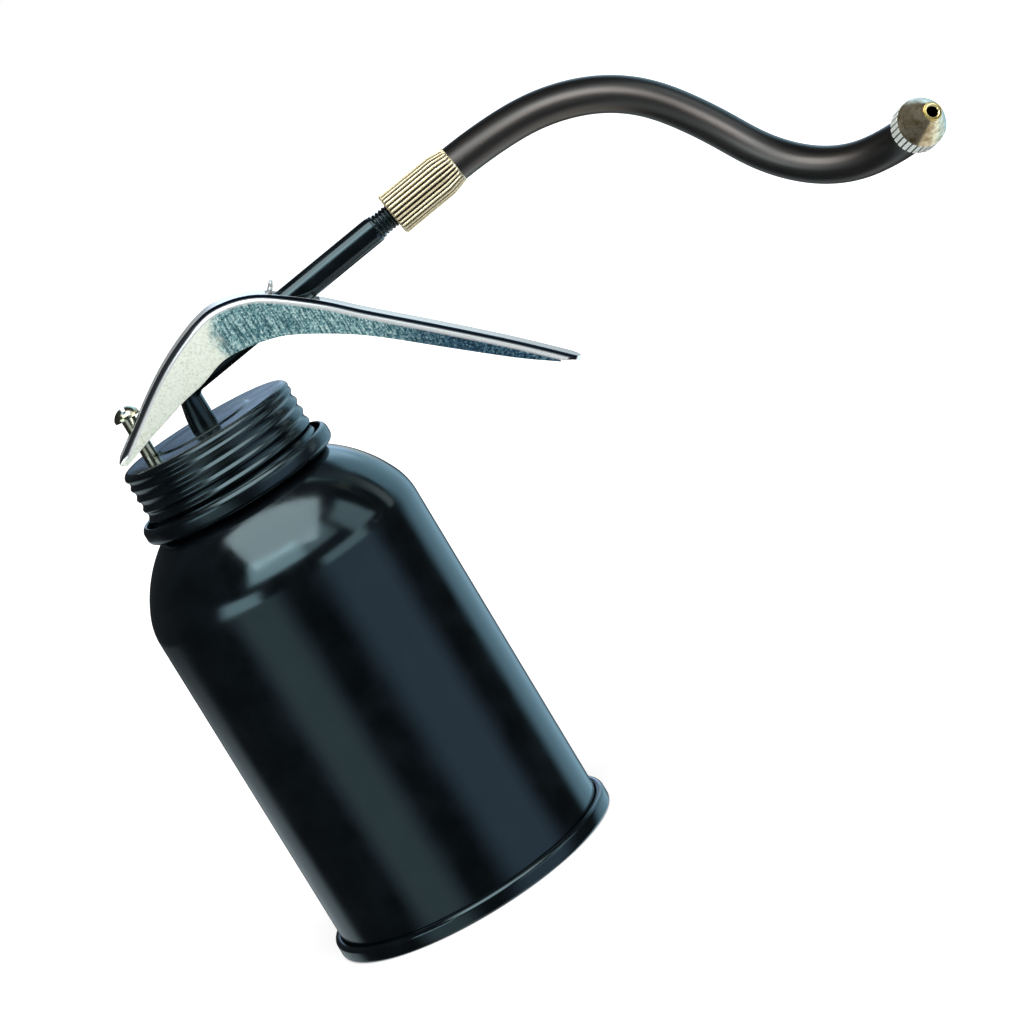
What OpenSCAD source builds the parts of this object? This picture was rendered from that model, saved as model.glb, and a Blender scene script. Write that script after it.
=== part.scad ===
// Flex spout oil can: a screw-topped steel can whose cap carries a lever pump, a rigid spout tube
// and a bendable hose with a pointed nozzle.
// The origin is the centre of the resting face of the foot rim. The spout points to +X, the front is -Y.

/* [Can] */
// Outside radius of the straight wall
can_r = 38; // [34:0.5:44]
// Sheet thickness of the can
can_sheet = 0.6; // [0.4:0.1:0.8]
// Height at which the straight wall turns into the shoulder
wall_h = 94.6; // [80:0.5:110]
// Radius of the tight bend where the shoulder starts
shoulder_start_r = 17; // [14:0.5:20]
// Angle that the tight bend turns through
shoulder_start_angle = 24; // [18:1:28]
// Radius of the long sweep of the shoulder
shoulder_r = 36; // [33:0.5:40]
// Outside radius of the neck
neck_r = 22.4; // [21.5:0.1:22.4]
// Height of the top edge of the neck
neck_top = 133.2; // [130:0.1:133.2]
// Outside radius of the rolled foot rim
rim_r = 40.1; // [39.6:0.1:41.5]
// Height of the rolled foot rim
rim_h = 4.3; // [3.5:0.1:6]
// Height of the underside of the bottom panel
panel_h = 3.2; // [2.4:0.1:3.4]

/* [Screw cap] */
// Sheet thickness of the cap
cap_sheet = 0.8; // [0.6:0.1:1]
// Height of the flat top of the cap
cap_top = 136.2; // [136:0.1:138]
// Outside radius of the plain skirt
cap_r = 23.9; // [23.9:0.1:24.5]
// Pitch of the rolled screw ridges
ridge_pitch = 3; // [2.5:0.1:3.2]
// Height of a rolled ridge above the valley beside it
ridge_h = 0.5; // [0.2:0.1:0.6]
// Number of ridges
ridge_count = 4; // [3:1:4]
// Outside radius of the turned-up hem
hem_r = 26.9; // [26.5:0.1:28]
// Height of the underside of the hem
hem_bottom = 117.2; // [117:0.1:118.2]
// Radius of the raised pad on top of the cap
pad_r = 13; // [10:0.5:18]
// Height of the raised pad
pad_h = 0.4; // [0.2:0.1:0.8]

/* [Pump] */
// Distance of the pump rod from the middle of the can
rod_x = -15.1; // [-16:0.1:-14]
// Diameter of the pump rod
rod_d = 3.8; // [3:0.1:4]
// Diameter of the slotted rod head
rod_head_d = 6.8; // [6:0.1:7.4]
// Height of the flat underside of the rod head
rod_head_z = 148; // [147.9:0.1:149]
// Thickness of the rod head
rod_head_h = 3; // [2.6:0.1:3.4]
// Bore of the pump barrel
barrel_bore = 9; // [8.6:0.1:9.2]
// Wall of the pump barrel
barrel_wall = 0.7; // [0.5:0.1:0.9]
// Height of the lower end of the barrel
barrel_bottom = 84; // [80:1:86]
// Wire thickness of the return spring
spring_wire = 0.8; // [0.6:0.1:1]
// Number of turns of the return spring
spring_turns = 9; // [7:1:11]
// Height of the lower end of the suction tube
suction_bottom = 8; // [6:0.5:20]

/* [Spout tube] */
// Outside diameter of the tube
tube_d = 7.1; // [6.6:0.1:7.1]
// Bore of the tube
tube_bore = 4.6; // [3.6:0.1:4.8]
// Distance of the upright part of the tube from the middle of the can
riser_x = 0.5; // [0:0.1:1]
// Height at which the upright part starts to bend
bend_z = 143.6; // [143:0.1:144.5]
// Radius of the bend along the middle of the tube
bend_r = 4.6; // [4.4:0.1:5]
// Slope of the long part of the tube above the horizontal
tube_slope = 8.7; // [8:0.1:9.5]
// Length of the sloping part before the tube narrows
tube_full_len = 59; // [56:0.5:60]
// Diameter of the threaded end
thread_d = 6.2; // [5.8:0.1:6.3]
// Length of the threaded end
thread_len = 13.2; // [12:0.1:14]

/* [Lever] */
// Width of the folded sheet
lever_w = 14.6; // [14.2:0.1:16]
// Sheet thickness of the lever
lever_sheet = 1.2; // [1:0.1:1.4]
// Outside radius of the two long bends
lever_bend = 2.2; // [1.6:0.1:2.6]
// Start of the slot that the tube comes out of
slot_start = 30.8; // [30:0.1:31]
// End of that slot
slot_end = 42; // [42:0.1:44]
// Width of that slot
slot_w = 9.2; // [8.6:0.1:10]
// Length of the small tongue bent up at the slot
tongue_len = 3; // [2.5:0.5:5]

/* [Hose coupling] */
// Distance from the tube's bend to the coupling
coupling_at = 64.5; // [63:0.5:66]
// Outside diameter of the coupling
coupling_d = 11.9; // [11.5:0.1:12.5]
// Length of the coupling
coupling_len = 20.2; // [19.5:0.1:21]
// Length of the tapered part of the coupling
coupling_taper = 4.6; // [3.5:0.1:6]
// Number of flutes of the knurl
flutes = 30; // [24:2:44]
// Depth of a flute
flute_depth = 0.35; // [0.2:0.05:0.5]

/* [Hose and nozzle] */
// Outside diameter of the hose
hose_d = 9.6; // [9:0.1:9.6]
// Bore of the hose
hose_bore = 5; // [4.6:0.1:5.4]
// Bends of the hose: radius, angle, direction (0 down, 90 to the front, 180 up)
hose_bends = [
    [128, 8, -10],
    [50, 23, 1],
    [40, 30, 5],
    [66, 17, 55],
    [40, 29, 142],
    [34, 32, 142],
    [31, 33, 82]
];
// Length of the straight end of the hose
hose_straight = 4.1; // [4.1:0.1:6]
// Diameter of the nozzle's knurled collar
collar_d = 12.6; // [12.4:0.1:14.5]
// Length of the collar
collar_len = 5.5; // [4.5:0.1:6]
// Number of flutes of the collar
collar_flutes = 28; // [20:2:40]
// Length of the nozzle's cone
cone_len = 8; // [7:0.5:12]
// Diameter of the nozzle's tip
tip_d = 4.8; // [4.4:0.1:5.4]
// Bore of the nozzle's tip
tip_bore = 2.6; // [1.5:0.1:3]

/* [Hidden] */
$fn = 96;
enamel = [0.06, 0.07, 0.08];
zinc = [0.80, 0.82, 0.84];
brass = [0.80, 0.66, 0.35];
nickel = [0.66, 0.66, 0.62];
rubber = [0.10, 0.10, 0.11];
steel = [0.62, 0.63, 0.65];
fibre = [0.45, 0.32, 0.22];

// Working allowances: a sliding fit, an easy clearance, and the reach of a cutting tool past a face
fit = 0.05;
ease = 0.3;
seat_gap = 0.02;
past = 1;

// The block under the cap: it closes the barrel, guides the rod and leads the oil to the spout tube
block_r = neck_r - can_sheet - 0.4;
block_h = 9;
block_top = cap_top - cap_sheet;
block_bottom = block_top - block_h;
rod_hole_d = rod_d + 2 * fit;
gland_r = 3.6;
gland_depth = 3;
gland_floor = block_top - gland_depth;
packing_h = 1.6;
chamber_top = gland_floor - 1;
barrel_r = barrel_bore / 2 + barrel_wall;
barrel_seat = 2.6;
barrel_top = block_bottom + barrel_seat;
duct_z = barrel_top + 1.3;
duct_r = 1.1;
duct_end = duct_z - 1.5;
riser_seat = duct_z + 1.4;

// Heights of the parts that move with the rod, at the bottom of the stroke
piston_bottom = barrel_bottom + 6;
piston_h = 9;
piston_top = piston_bottom + piston_h;
piston_r = barrel_bore / 2 - 0.3;
piston_bore_r = 0.9;
piston_seat = piston_bottom + 1.5;
piston_chamber_r = 1.9;
piston_chamber_h = 5;
piston_ball_r = 1.4;
cup_z = piston_bottom + 1.2;
cup_h = 2;
cup_depth = 0.9;
rod_end_d = 3;
rod_end_h = 2.2;

// The foot valve at the lower end of the barrel
foot_flange_h = 4;
foot_plug_h = 4;
foot_seat = barrel_bottom - 1.5;
foot_bore_r = 1.1;
foot_ball_r = 1.6;
foot_chamber_r = 2.3;
stub_r = 2.4;
stub_h = 4;
suction_wall = 0.6;
strainer_h = 6;

// The sloping tube's own frame starts where its bend ends
bend_turn = 90 - tube_slope;
bend_end_x = riser_x + bend_r * (1 - cos(bend_turn));
bend_end_z = bend_z + bend_r * sin(bend_turn);
cone_step = 1.6;
thread_bore = tube_bore - 0.8;
thread_start = tube_full_len + cone_step;
nipple_bore = tube_bore - 1.4;

// The inside of the coupling, measured from its own left end
coupling_tip_d = 10.1;
nut_bore_len = 10.4;
seat_wall = 1.2;
washer_h = 0.8;
hose_socket = coupling_len - nut_bore_len - seat_wall;
nipple_flange = 1;

// How far the collar reaches over the hose, how deep the nozzle takes its nipple,
// and how much of the tip's tube is inside the nozzle
collar_grip = 4;
collar_front = collar_len - collar_grip;
cone_end = collar_front + cone_len;
nozzle_socket = 4;
tip_seat = 5;
tip_rim = 0.6;

// The profile of the lever: x, height of the top face, height of the flange's lower edge
lever_profile = [
    [-22.3, 140.0, 138.6],
    [-20.0, 141.7, 139.0],
    [-13.0, 146.8, 141.2],
    [-6.5, 151.4, 143.2],
    [-0.5, 155.1, 145.1],
    [6.0, 158.3, 146.5],
    [12.5, 160.7, 148.7],
    [18.0, 161.5, 148.9],
    [25.0, 160.3, 147.8],
    [31.5, 157.1, 145.6],
    [41.8, 149.2, 139.7],
    [50.3, 141.3, 133.6],
    [63.0, 129.9, 123.0],
    [76.0, 118.0, 112.3],
    [84.0, 110.3, 106.4],
    [91.3, 103.0, 101.3]
];

// Points along an arc about [cx, cy], from angle a0 to a1
function arc(cx, cy, r, a0, a1, steps = 6) =
    [for (i = [0:steps]) [
        cx + r * cos(a0 + (a1 - a0) * i / steps),
        cy + r * sin(a0 + (a1 - a0) * i / steps)
    ]];

function unit(v) = v / norm(v);

// The direction square to a path at point i, to its left
function side_of(path, i) =
    let (
        a = path[max(i - 1, 0)],
        b = path[min(i + 1, len(path) - 1)],
        d = unit(b - a)
    ) [-d[1], d[0]];

// The outline of a bent sheet whose middle follows a path
function sheet_outline(path, thickness) = concat(
    [for (i = [0:len(path) - 1]) path[i] + side_of(path, i) * thickness / 2],
    [for (i = [len(path) - 1:-1:0]) path[i] - side_of(path, i) * thickness / 2]
);

hose_sides = 24;
hose_steps = 5;
bent_hose = hose_places([[0, 0, 0], [0, 0, 1], [1, 0, 0], [0, -1, 0]]);
last_bend = bent_hose[len(bent_hose) - 1];
hose_end = [last_bend[0] + hose_straight * last_bend[1], last_bend[1], last_bend[2], last_bend[3]];

// A smooth curve through four numbers in a row, t running from the second to the third
function smooth(p, t) =
    0.5 * (2 * p[1] + (p[2] - p[0]) * t
        + (2 * p[0] - 5 * p[1] + 4 * p[2] - p[3]) * t * t
        + (3 * p[1] - p[0] - 3 * p[2] + p[3]) * t * t * t);

// One row of the lever's profile, part t of the way from row i to the next
function lever_row(i, t) =
    let (last = len(lever_profile) - 1)
    [for (k = [0:2]) smooth([
        lever_profile[max(i - 1, 0)][k],
        lever_profile[i][k],
        lever_profile[min(i + 1, last)][k],
        lever_profile[min(i + 2, last)][k]
    ], t)];

lever_rows = concat(
    [for (i = [0:len(lever_profile) - 2], t = [0, 0.5]) lever_row(i, t)],
    [lever_profile[len(lever_profile) - 1]]
);

// The four-sided faces between rings of points, ring j joined to ring j + 1
function skin_sides(rings, closed) =
    let (count = len(rings[0]), total = len(rings))
    [for (j = [0:closed ? total - 1 : total - 2], i = [0:count - 1]) [
        j * count + i,
        j * count + (i + 1) % count,
        (j + 1) % total * count + (i + 1) % count,
        (j + 1) % total * count + i
    ]];

// The faces that close one end of a skin, in strips across the ring that starts at a point
function skin_end(start, count) =
    [for (k = [0:count / 2 - 2]) [
        start + k,
        start + k + 1,
        start + count - 2 - k,
        start + count - 1 - k
    ]];

function backwards(list) = [for (i = [len(list) - 1:-1:0]) list[i]];

// A solid skin over rings of points, closed at both ends
module skin(rings) {
    count = len(rings[0]);
    points = [for (ring = rings, p = ring) p];
    first_end = [for (face = skin_end(0, count)) backwards(face)];
    last_end = skin_end((len(rings) - 1) * count, count);
    polyhedron(points, concat(skin_sides(rings, false), first_end, last_end), convexity = 8);
}

// A hollow skin: out along the outer rings and back along the inner ones
module pipe_skin(outer, inner) {
    rings = concat(outer, backwards(inner));
    points = [for (ring = rings, p = ring) p];
    polyhedron(points, skin_sides(rings, true), convexity = 8);
}

// A turned tube standing on z
module tube(outer_d, bore, h) {
    difference() {
        cylinder(d = outer_d, h = h);
        translate([0, 0, -past]) cylinder(d = bore, h = h + 2 * past);
    }
}

// Anything placed along the sloping tube, with z along the tube from the end of its bend
module on_tube(at = 0) {
    translate([bend_end_x, 0, bend_end_z]) rotate([0, 90 - tube_slope, 0]) translate([0, 0, at]) children();
}

// A place on the hose: where it is, and its directions along, down and to the front.
// This is the place after a bend of this radius has turned through an angle towards a direction.
function bent(at, radius, angle, turn) =
    let (
        toward = cos(turn) * at[2] + sin(turn) * at[3],
        across = cos(turn) * at[3] - sin(turn) * at[2],
        along = cos(angle) * at[1] + sin(angle) * toward,
        inward = cos(angle) * toward - sin(angle) * at[1]
    ) [
        at[0] + radius * (sin(angle) * at[1] + (1 - cos(angle)) * toward),
        along,
        cos(turn) * inward - sin(turn) * across,
        sin(turn) * inward + cos(turn) * across
    ];

// All the places along the hose from bend i on
function hose_places(at, i = 0) =
    i == len(hose_bends) ? [at] :
    let (row = hose_bends[i])
    concat(
        [for (k = [0:hose_steps - 1]) bent(at, row[0], row[1] * k / hose_steps, row[2])],
        hose_places(bent(at, row[0], row[1], row[2]), i + 1)
    );

// The ring of points round one place on the hose
function hose_ring(at, radius) =
    [for (k = [0:hose_sides - 1])
        let (a = 360 * k / hose_sides)
        at[0] + radius * (cos(a) * at[2] - sin(a) * at[3])
    ];

// Moves its children to the end of the hose, z pointing out of it
module on_hose_end() {
    on_tube(coupling_at + coupling_len) multmatrix([
        [hose_end[2][0], -hose_end[3][0], hose_end[1][0], hose_end[0][0]],
        [hose_end[2][1], -hose_end[3][1], hose_end[1][1], hose_end[0][1]],
        [hose_end[2][2], -hose_end[3][2], hose_end[1][2], hose_end[0][2]],
        [0, 0, 0, 1]
    ]) children();
}

// Straight flutes cut round a turned blank, with a narrow land left between two of them
module knurled(d, h, count) {
    crest = d / 2 + 0.15;
    root = d / 2 - flute_depth;
    intersection() {
        children();
        translate([0, 0, -past]) linear_extrude(height = h + 2 * past) polygon([for (i = [0:2 * count - 1])
            (i % 2 == 0 ? crest : root) * [cos(180 * i / count), sin(180 * i / count)]
        ]);
    }
}

// The drawn steel can: wall, domed shoulder and neck in one sheet
module can_body() {
    half = can_sheet / 2;
    wall_gap = 0.4;
    start_x = can_r - shoulder_start_r;
    sweep_x = start_x + (shoulder_start_r - shoulder_r) * cos(shoulder_start_angle);
    sweep_z = wall_h + (shoulder_start_r - shoulder_r) * sin(shoulder_start_angle);
    fillet = 1.2;
    neck_mid = neck_r - half;
    end_angle = acos((neck_mid + fillet - sweep_x) / (shoulder_r - half + fillet));
    fillet_x = neck_mid + fillet;
    fillet_z = sweep_z + (shoulder_r - half + fillet) * sin(end_angle);
    path = concat(
        [[can_r - half, can_sheet + wall_gap]],
        arc(start_x, wall_h, shoulder_start_r - half, 0, shoulder_start_angle, 5),
        arc(sweep_x, sweep_z, shoulder_r - half, shoulder_start_angle + 3, end_angle, 9),
        arc(fillet_x, fillet_z, fillet, 180 + end_angle * 0.75, 180, 3),
        [[neck_mid, neck_top]]
    );
    color(enamel) rotate_extrude() polygon(sheet_outline(path, can_sheet));
}

// The bottom panel with its rolled rim, whose channel takes the wall's lower edge
module base_cup() {
    half = can_sheet / 2;
    inner_x = can_r - can_sheet - half - fit;
    outer_x = rim_r - half;
    corner = 0.6;
    path = concat(
        [[0, panel_h + half]],
        arc(inner_x - corner, panel_h + half - corner, corner, 90, 0, 4),
        arc(inner_x + corner, corner + half, corner, 180, 270, 4),
        arc(outer_x - corner, corner + half, corner, 270, 360, 4),
        arc(outer_x - corner, rim_h - half - corner, corner, 0, 90, 4),
        [[can_r + 0.9, rim_h - half]]
    );
    color(enamel) rotate_extrude() polygon(sheet_outline(path, can_sheet));
}

// The soft ring between the cap and the neck's top edge
module cap_gasket() {
    color(fibre) translate([0, 0, neck_top])
        tube(2 * (neck_r - 0.1), 2 * (block_r + 0.2), block_top - neck_top);
}

// The pressed cap: raised pad, flat top, rolled ridges and the hem turned up at its lower edge
module screw_cap() {
    half = cap_sheet / 2;
    mid_r = cap_r - half;
    corner = 1.2;
    top_mid = cap_top - half;
    skirt_top = top_mid - corner;
    ridge_low = skirt_top - 1.2 - ridge_count * ridge_pitch;
    hem_turn = (hem_r - half - mid_r) / 2;
    hem_x = mid_r + hem_turn;
    hem_z = hem_bottom + half + hem_turn;
    hem_wall = 1.2;
    hole_h = cap_sheet + pad_h + 2 * past;
    ridge_steps = 6 * ridge_count;
    path = concat(
        [[0, top_mid + pad_h], [pad_r - 0.4, top_mid + pad_h], [pad_r + 0.4, top_mid]],
        arc(mid_r - corner, skirt_top, corner, 90, 0, 5),
        [for (i = [0:ridge_steps]) [
            mid_r - ridge_h / 2 * (1 - cos(360 * i / 6)),
            skirt_top - 1.2 - (skirt_top - 1.2 - ridge_low) * i / ridge_steps
        ]],
        arc(hem_x, hem_z, hem_turn, 180, 360, 8),
        arc(hem_x, hem_z + hem_wall, hem_turn, 0, 60, 4)
    );
    color(enamel) difference() {
        rotate_extrude() polygon(sheet_outline(path, cap_sheet));
        translate([riser_x, 0, block_top - past]) cylinder(d = tube_d, h = hole_h);
        translate([rod_x, 0, block_top - past]) cylinder(d = rod_d + 0.8, h = hole_h);
    }
}

// The brass block soldered under the cap
module pump_head_block() {
    color(brass) difference() {
        translate([0, 0, block_bottom]) cylinder(r = block_r, h = block_h);
        translate([rod_x, 0, gland_floor]) cylinder(r = gland_r, h = gland_depth + past);
        translate([rod_x, 0, block_bottom]) cylinder(d = rod_hole_d, h = block_h);
        translate([rod_x, 0, block_bottom - past])
            cylinder(d = barrel_bore, h = chamber_top - block_bottom + past);
        translate([rod_x, 0, block_bottom - past]) cylinder(r = barrel_r, h = barrel_seat + past);
        translate([rod_x, 0, duct_z]) rotate([0, 90, 0]) cylinder(r = duct_r, h = riser_x - rod_x);
        translate([riser_x, 0, duct_end]) cylinder(d = tube_bore, h = riser_seat - duct_end + past);
        translate([riser_x, 0, riser_seat]) cylinder(d = tube_d, h = block_top - riser_seat + past);
    }
}

// The packing ring that seals the rod
module gland_packing() {
    color(fibre) translate([rod_x, 0, gland_floor]) tube(2 * gland_r, rod_hole_d, packing_h);
}

// The slotted ring nut that holds the packing down
module gland_nut() {
    nut_h = gland_depth - packing_h;
    slot = [2 * gland_r + 2 * past, 1, 0.6 + past];
    color(brass) translate([rod_x, 0, 0]) difference() {
        translate([0, 0, block_top - nut_h]) tube(2 * gland_r, rod_d + 0.6, nut_h);
        translate([0, 0, block_top - slot[2] / 2 + past]) cube(slot, center = true);
    }
}

// The barrel that the piston works in
module pump_barrel() {
    color(brass) translate([rod_x, 0, barrel_bottom])
        tube(2 * barrel_r, barrel_bore, barrel_top - barrel_bottom);
}

// The plug at the barrel's lower end, with the valve seat and the stub for the suction tube
module foot_valve_body() {
    color(brass) translate([rod_x, 0, 0]) difference() {
        union() {
            translate([0, 0, barrel_bottom - foot_flange_h]) cylinder(r = barrel_r, h = foot_flange_h);
            translate([0, 0, barrel_bottom]) cylinder(d = barrel_bore, h = foot_plug_h);
            translate([0, 0, barrel_bottom - foot_flange_h - stub_h]) cylinder(r = stub_r, h = stub_h);
        }
        translate([0, 0, suction_bottom]) cylinder(r = foot_bore_r, h = foot_seat - suction_bottom + past);
        translate([0, 0, foot_seat])
            cylinder(r = foot_chamber_r, h = barrel_bottom + foot_plug_h - foot_seat + past);
    }
}

// The ball that lets oil up into the barrel but not back
module foot_valve_ball() {
    rise = sqrt(foot_ball_r * foot_ball_r - foot_bore_r * foot_bore_r);
    color(steel) translate([rod_x, 0, foot_seat + rise + seat_gap]) sphere(r = foot_ball_r);
}

// The drilled disc that keeps the foot ball in its chamber
module foot_valve_cage() {
    disc_h = 1;
    hole_r = 0.6;
    hole_at = 1.2;
    color(brass) translate([rod_x, 0, barrel_bottom + foot_plug_h - disc_h]) difference() {
        cylinder(r = foot_chamber_r, h = disc_h);
        for (side = [-1, 1]) {
            translate([side * hole_at, 0, -past]) cylinder(r = hole_r, h = disc_h + 2 * past);
        }
    }
}

// The tube that reaches down to the bottom of the can
module suction_tube() {
    top = barrel_bottom - foot_flange_h;
    color(brass) translate([rod_x, 0, suction_bottom])
        tube(2 * (stub_r + suction_wall), 2 * stub_r, top - suction_bottom);
}

// The cup with drilled holes that keeps dirt out of the suction tube
module strainer() {
    outer = stub_r + 2 * suction_wall;
    room = 1.5;
    hole_r = 0.45;
    color(steel) translate([rod_x, 0, suction_bottom - room]) difference() {
        translate([0, 0, -suction_wall]) cylinder(r = outer, h = strainer_h);
        cylinder(r = outer - suction_wall, h = strainer_h);
        for (turn = [0:45:315]) {
            translate([0, 0, room / 2]) rotate([0, 90, turn]) cylinder(r = hole_r, h = outer + past);
        }
    }
}

// The painted tube: upright part, tight bend, long sloping part and threaded end.
// The bend is a little fuller than the straight parts.
module spout_tube() {
    color(enamel) {
        translate([riser_x, 0, riser_seat]) tube(tube_d, tube_bore, bend_z - riser_seat);
        translate([riser_x + bend_r, 0, bend_z]) rotate([90, 0, 180])
            rotate_extrude(angle = bend_turn) translate([bend_r, 0]) difference() {
                circle(d = tube_d + 2 * fit);
                circle(d = tube_bore - 2 * fit);
            }
        on_tube() difference() {
            union() {
                cylinder(d = tube_d, h = tube_full_len);
                translate([0, 0, tube_full_len]) cylinder(d1 = tube_d, d2 = thread_d, h = cone_step);
                translate([0, 0, thread_start]) cylinder(d = thread_d, h = thread_len);
            }
            translate([0, 0, -past]) cylinder(d = tube_bore, h = tube_full_len + past);
            translate([0, 0, tube_full_len]) cylinder(d = thread_bore, h = cone_step + thread_len + past);
        }
    }
}

// The rod with its domed, slotted head; the lower end screws into the piston
module pump_rod() {
    dome_h = 2.2;
    dome = (rod_head_d * rod_head_d / 4 + dome_h * dome_h) / (2 * dome_h);
    slot = [1.2, 2 * rod_head_d, 1.4];
    color(steel) translate([rod_x, 0, 0]) difference() {
        union() {
            translate([0, 0, piston_top - rod_end_h]) cylinder(d = rod_end_d, h = rod_end_h);
            translate([0, 0, piston_top]) cylinder(d = rod_d, h = rod_head_z - piston_top);
            intersection() {
                translate([0, 0, rod_head_z]) cylinder(d = rod_head_d, h = rod_head_h);
                translate([0, 0, rod_head_z + rod_head_h - dome]) sphere(r = dome);
            }
        }
        translate([-slot[0] / 2, -rod_head_d, rod_head_z + rod_head_h - slot[2]])
            cube(slot + [0, 0, past]);
    }
}

// The piston, drilled through for the oil, with a ball valve inside
module piston() {
    port_z = piston_seat + piston_chamber_h - 1;
    port_r = 0.7;
    color(brass) translate([rod_x, 0, 0]) difference() {
        translate([0, 0, piston_bottom]) cylinder(r = piston_r, h = piston_h);
        translate([0, 0, cup_z]) tube(2 * (piston_r + past), 2 * (piston_r - cup_depth), cup_h);
        translate([0, 0, piston_bottom - past])
            cylinder(r = piston_bore_r, h = piston_seat - piston_bottom + 2 * past);
        translate([0, 0, piston_seat]) cylinder(r = piston_chamber_r, h = piston_chamber_h);
        translate([0, 0, piston_top - rod_end_h]) cylinder(d = rod_end_d, h = rod_end_h + past);
        translate([0, 0, port_z]) rotate([0, 90, 0]) cylinder(r = port_r, h = barrel_bore, center = true);
    }
}

// The sealing ring round the piston
module piston_cup() {
    color(fibre) translate([rod_x, 0, cup_z])
        tube(barrel_bore - 2 * fit, 2 * (piston_r - cup_depth), cup_h);
}

// The ball that closes the piston when it is pulled up
module piston_ball() {
    rise = sqrt(piston_ball_r * piston_ball_r - piston_bore_r * piston_bore_r);
    color(steel) translate([rod_x, 0, piston_seat + rise + seat_gap]) sphere(r = piston_ball_r);
}

// The spring that pushes the piston down again
module return_spring() {
    wire_r = spring_wire / 2;
    coil_r = barrel_bore / 2 - wire_r - 0.5;
    low = piston_top + wire_r + 0.1;
    high = chamber_top - wire_r - 0.1;
    per_turn = 16;
    steps = spring_turns * per_turn;
    rings = [for (j = [0:steps])
        let (a = 360 * j / per_turn, z = low + (high - low) * j / steps)
        [for (i = [0:5])
            let (r = coil_r + wire_r * cos(60 * i))
            [r * cos(a), r * sin(a), z + wire_r * sin(60 * i)]
        ]
    ];
    color(steel) translate([rod_x, 0, 0]) skin(rings);
}

// The section of the lever at one row of its profile, an upside-down U with round bends
function lever_section(row, slope) =
    let (
        stretch = 1 / cos(slope),
        half = lever_w / 2,
        inner = half - lever_sheet,
        outer_bend = lever_bend,
        inner_bend = lever_bend - lever_sheet,
        top = row[1],
        under = top - lever_sheet * stretch,
        foot = min(row[2], top - (lever_bend + 0.1) * stretch)
    )
    concat(
        [[row[0], -half, foot]],
        [for (a = [180:-30:90]) [
            row[0],
            -half + outer_bend + outer_bend * cos(a),
            top - outer_bend * stretch * (1 - sin(a))
        ]],
        [for (a = [90:-30:0]) [
            row[0],
            half - outer_bend + outer_bend * cos(a),
            top - outer_bend * stretch * (1 - sin(a))
        ]],
        [[row[0], half, foot], [row[0], inner, foot]],
        [for (a = [0:30:90]) [
            row[0],
            inner - inner_bend + inner_bend * cos(a),
            under - inner_bend * stretch * (1 - sin(a))
        ]],
        [for (a = [90:30:180]) [
            row[0],
            -inner + inner_bend + inner_bend * cos(a),
            under - inner_bend * stretch * (1 - sin(a))
        ]],
        [[row[0], -inner, foot]]
    );

// The slope of the lever's top face at one row
function lever_slope(i) =
    let (
        a = lever_rows[max(i - 1, 0)],
        b = lever_rows[min(i + 1, len(lever_rows) - 1)]
    ) atan2(b[1] - a[1], b[0] - a[0]);

// The folded sheet lever: it rocks on the tube at the slot's left edge and lifts the rod by its head
module lever() {
    hole = [7.6, rod_d + 1, 12];
    hole_start = rod_x - 3.2;
    under_top = [141, 147];
    tongue_w = 6;
    lip_len = 2.2;
    lip_z = 156.2;
    color(zinc) {
        difference() {
            skin([for (i = [0:len(lever_rows) - 1]) lever_section(lever_rows[i], lever_slope(i))]);
            translate([slot_start, -slot_w / 2, under_top[1]]) cube([slot_end - slot_start, slot_w, hole[2]]);
            translate([hole_start, -hole[1] / 2, under_top[0]]) cube(hole);
        }
        translate([slot_start - 0.5, -tongue_w / 2, lip_z]) {
            rotate([0, -8, 0]) cube([lip_len, tongue_w, lever_sheet]);
            translate([lip_len - 0.2, 0, 0.3]) rotate([0, -47, 0]) cube([tongue_len, tongue_w, lever_sheet]);
        }
    }
}

// The knurled brass coupling: screwed on the tube at one end, gripping the hose at the other
module coupling_nut() {
    color(brass) on_tube(coupling_at) difference() {
        knurled(coupling_d, coupling_len, flutes) union() {
            cylinder(d = coupling_d, h = coupling_len - coupling_taper);
            translate([0, 0, coupling_len - coupling_taper])
                cylinder(d1 = coupling_d, d2 = coupling_tip_d, h = coupling_taper);
        }
        translate([0, 0, -past]) cylinder(d = thread_d + 2 * ease, h = nut_bore_len + past);
        translate([0, 0, nut_bore_len - past]) cylinder(d = hose_bore + 0.6, h = seat_wall + 2 * past);
        translate([0, 0, coupling_len - hose_socket]) cylinder(d = hose_d, h = hose_socket + past);
    }
}

// The washer that seals the coupling against the end of the tube
module coupling_washer() {
    color(fibre) on_tube(coupling_at + nut_bore_len - washer_h)
        tube(thread_d + 2 * ease, thread_bore, washer_h);
}

// The barbed nipple that the hose is pushed over, held in the coupling by its flange
module hose_nipple() {
    flange_at = coupling_len - hose_socket;
    nipple_len = hose_socket + 2;
    color(brass) on_tube(coupling_at + flange_at) difference() {
        union() {
            cylinder(d = hose_d - 0.4, h = nipple_flange);
            cylinder(d = hose_bore, h = nipple_len);
        }
        translate([0, 0, -past]) cylinder(d = nipple_bore, h = nipple_len + 2 * past);
    }
}

// The hose: its straight end in the coupling, the bends one after another and the end in the collar
module flex_hose() {
    first = [[0, 0, nipple_flange - hose_socket], [0, 0, 1], [1, 0, 0], [0, -1, 0]];
    places = concat([first], bent_hose, [hose_end]);
    bore_r = hose_bore / 2 / cos(180 / hose_sides);
    color(rubber) on_tube(coupling_at + coupling_len) pipe_skin(
        [for (at = places) hose_ring(at, hose_d / 2)],
        [for (at = places) hose_ring(at, bore_r)]
    );
}

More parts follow.
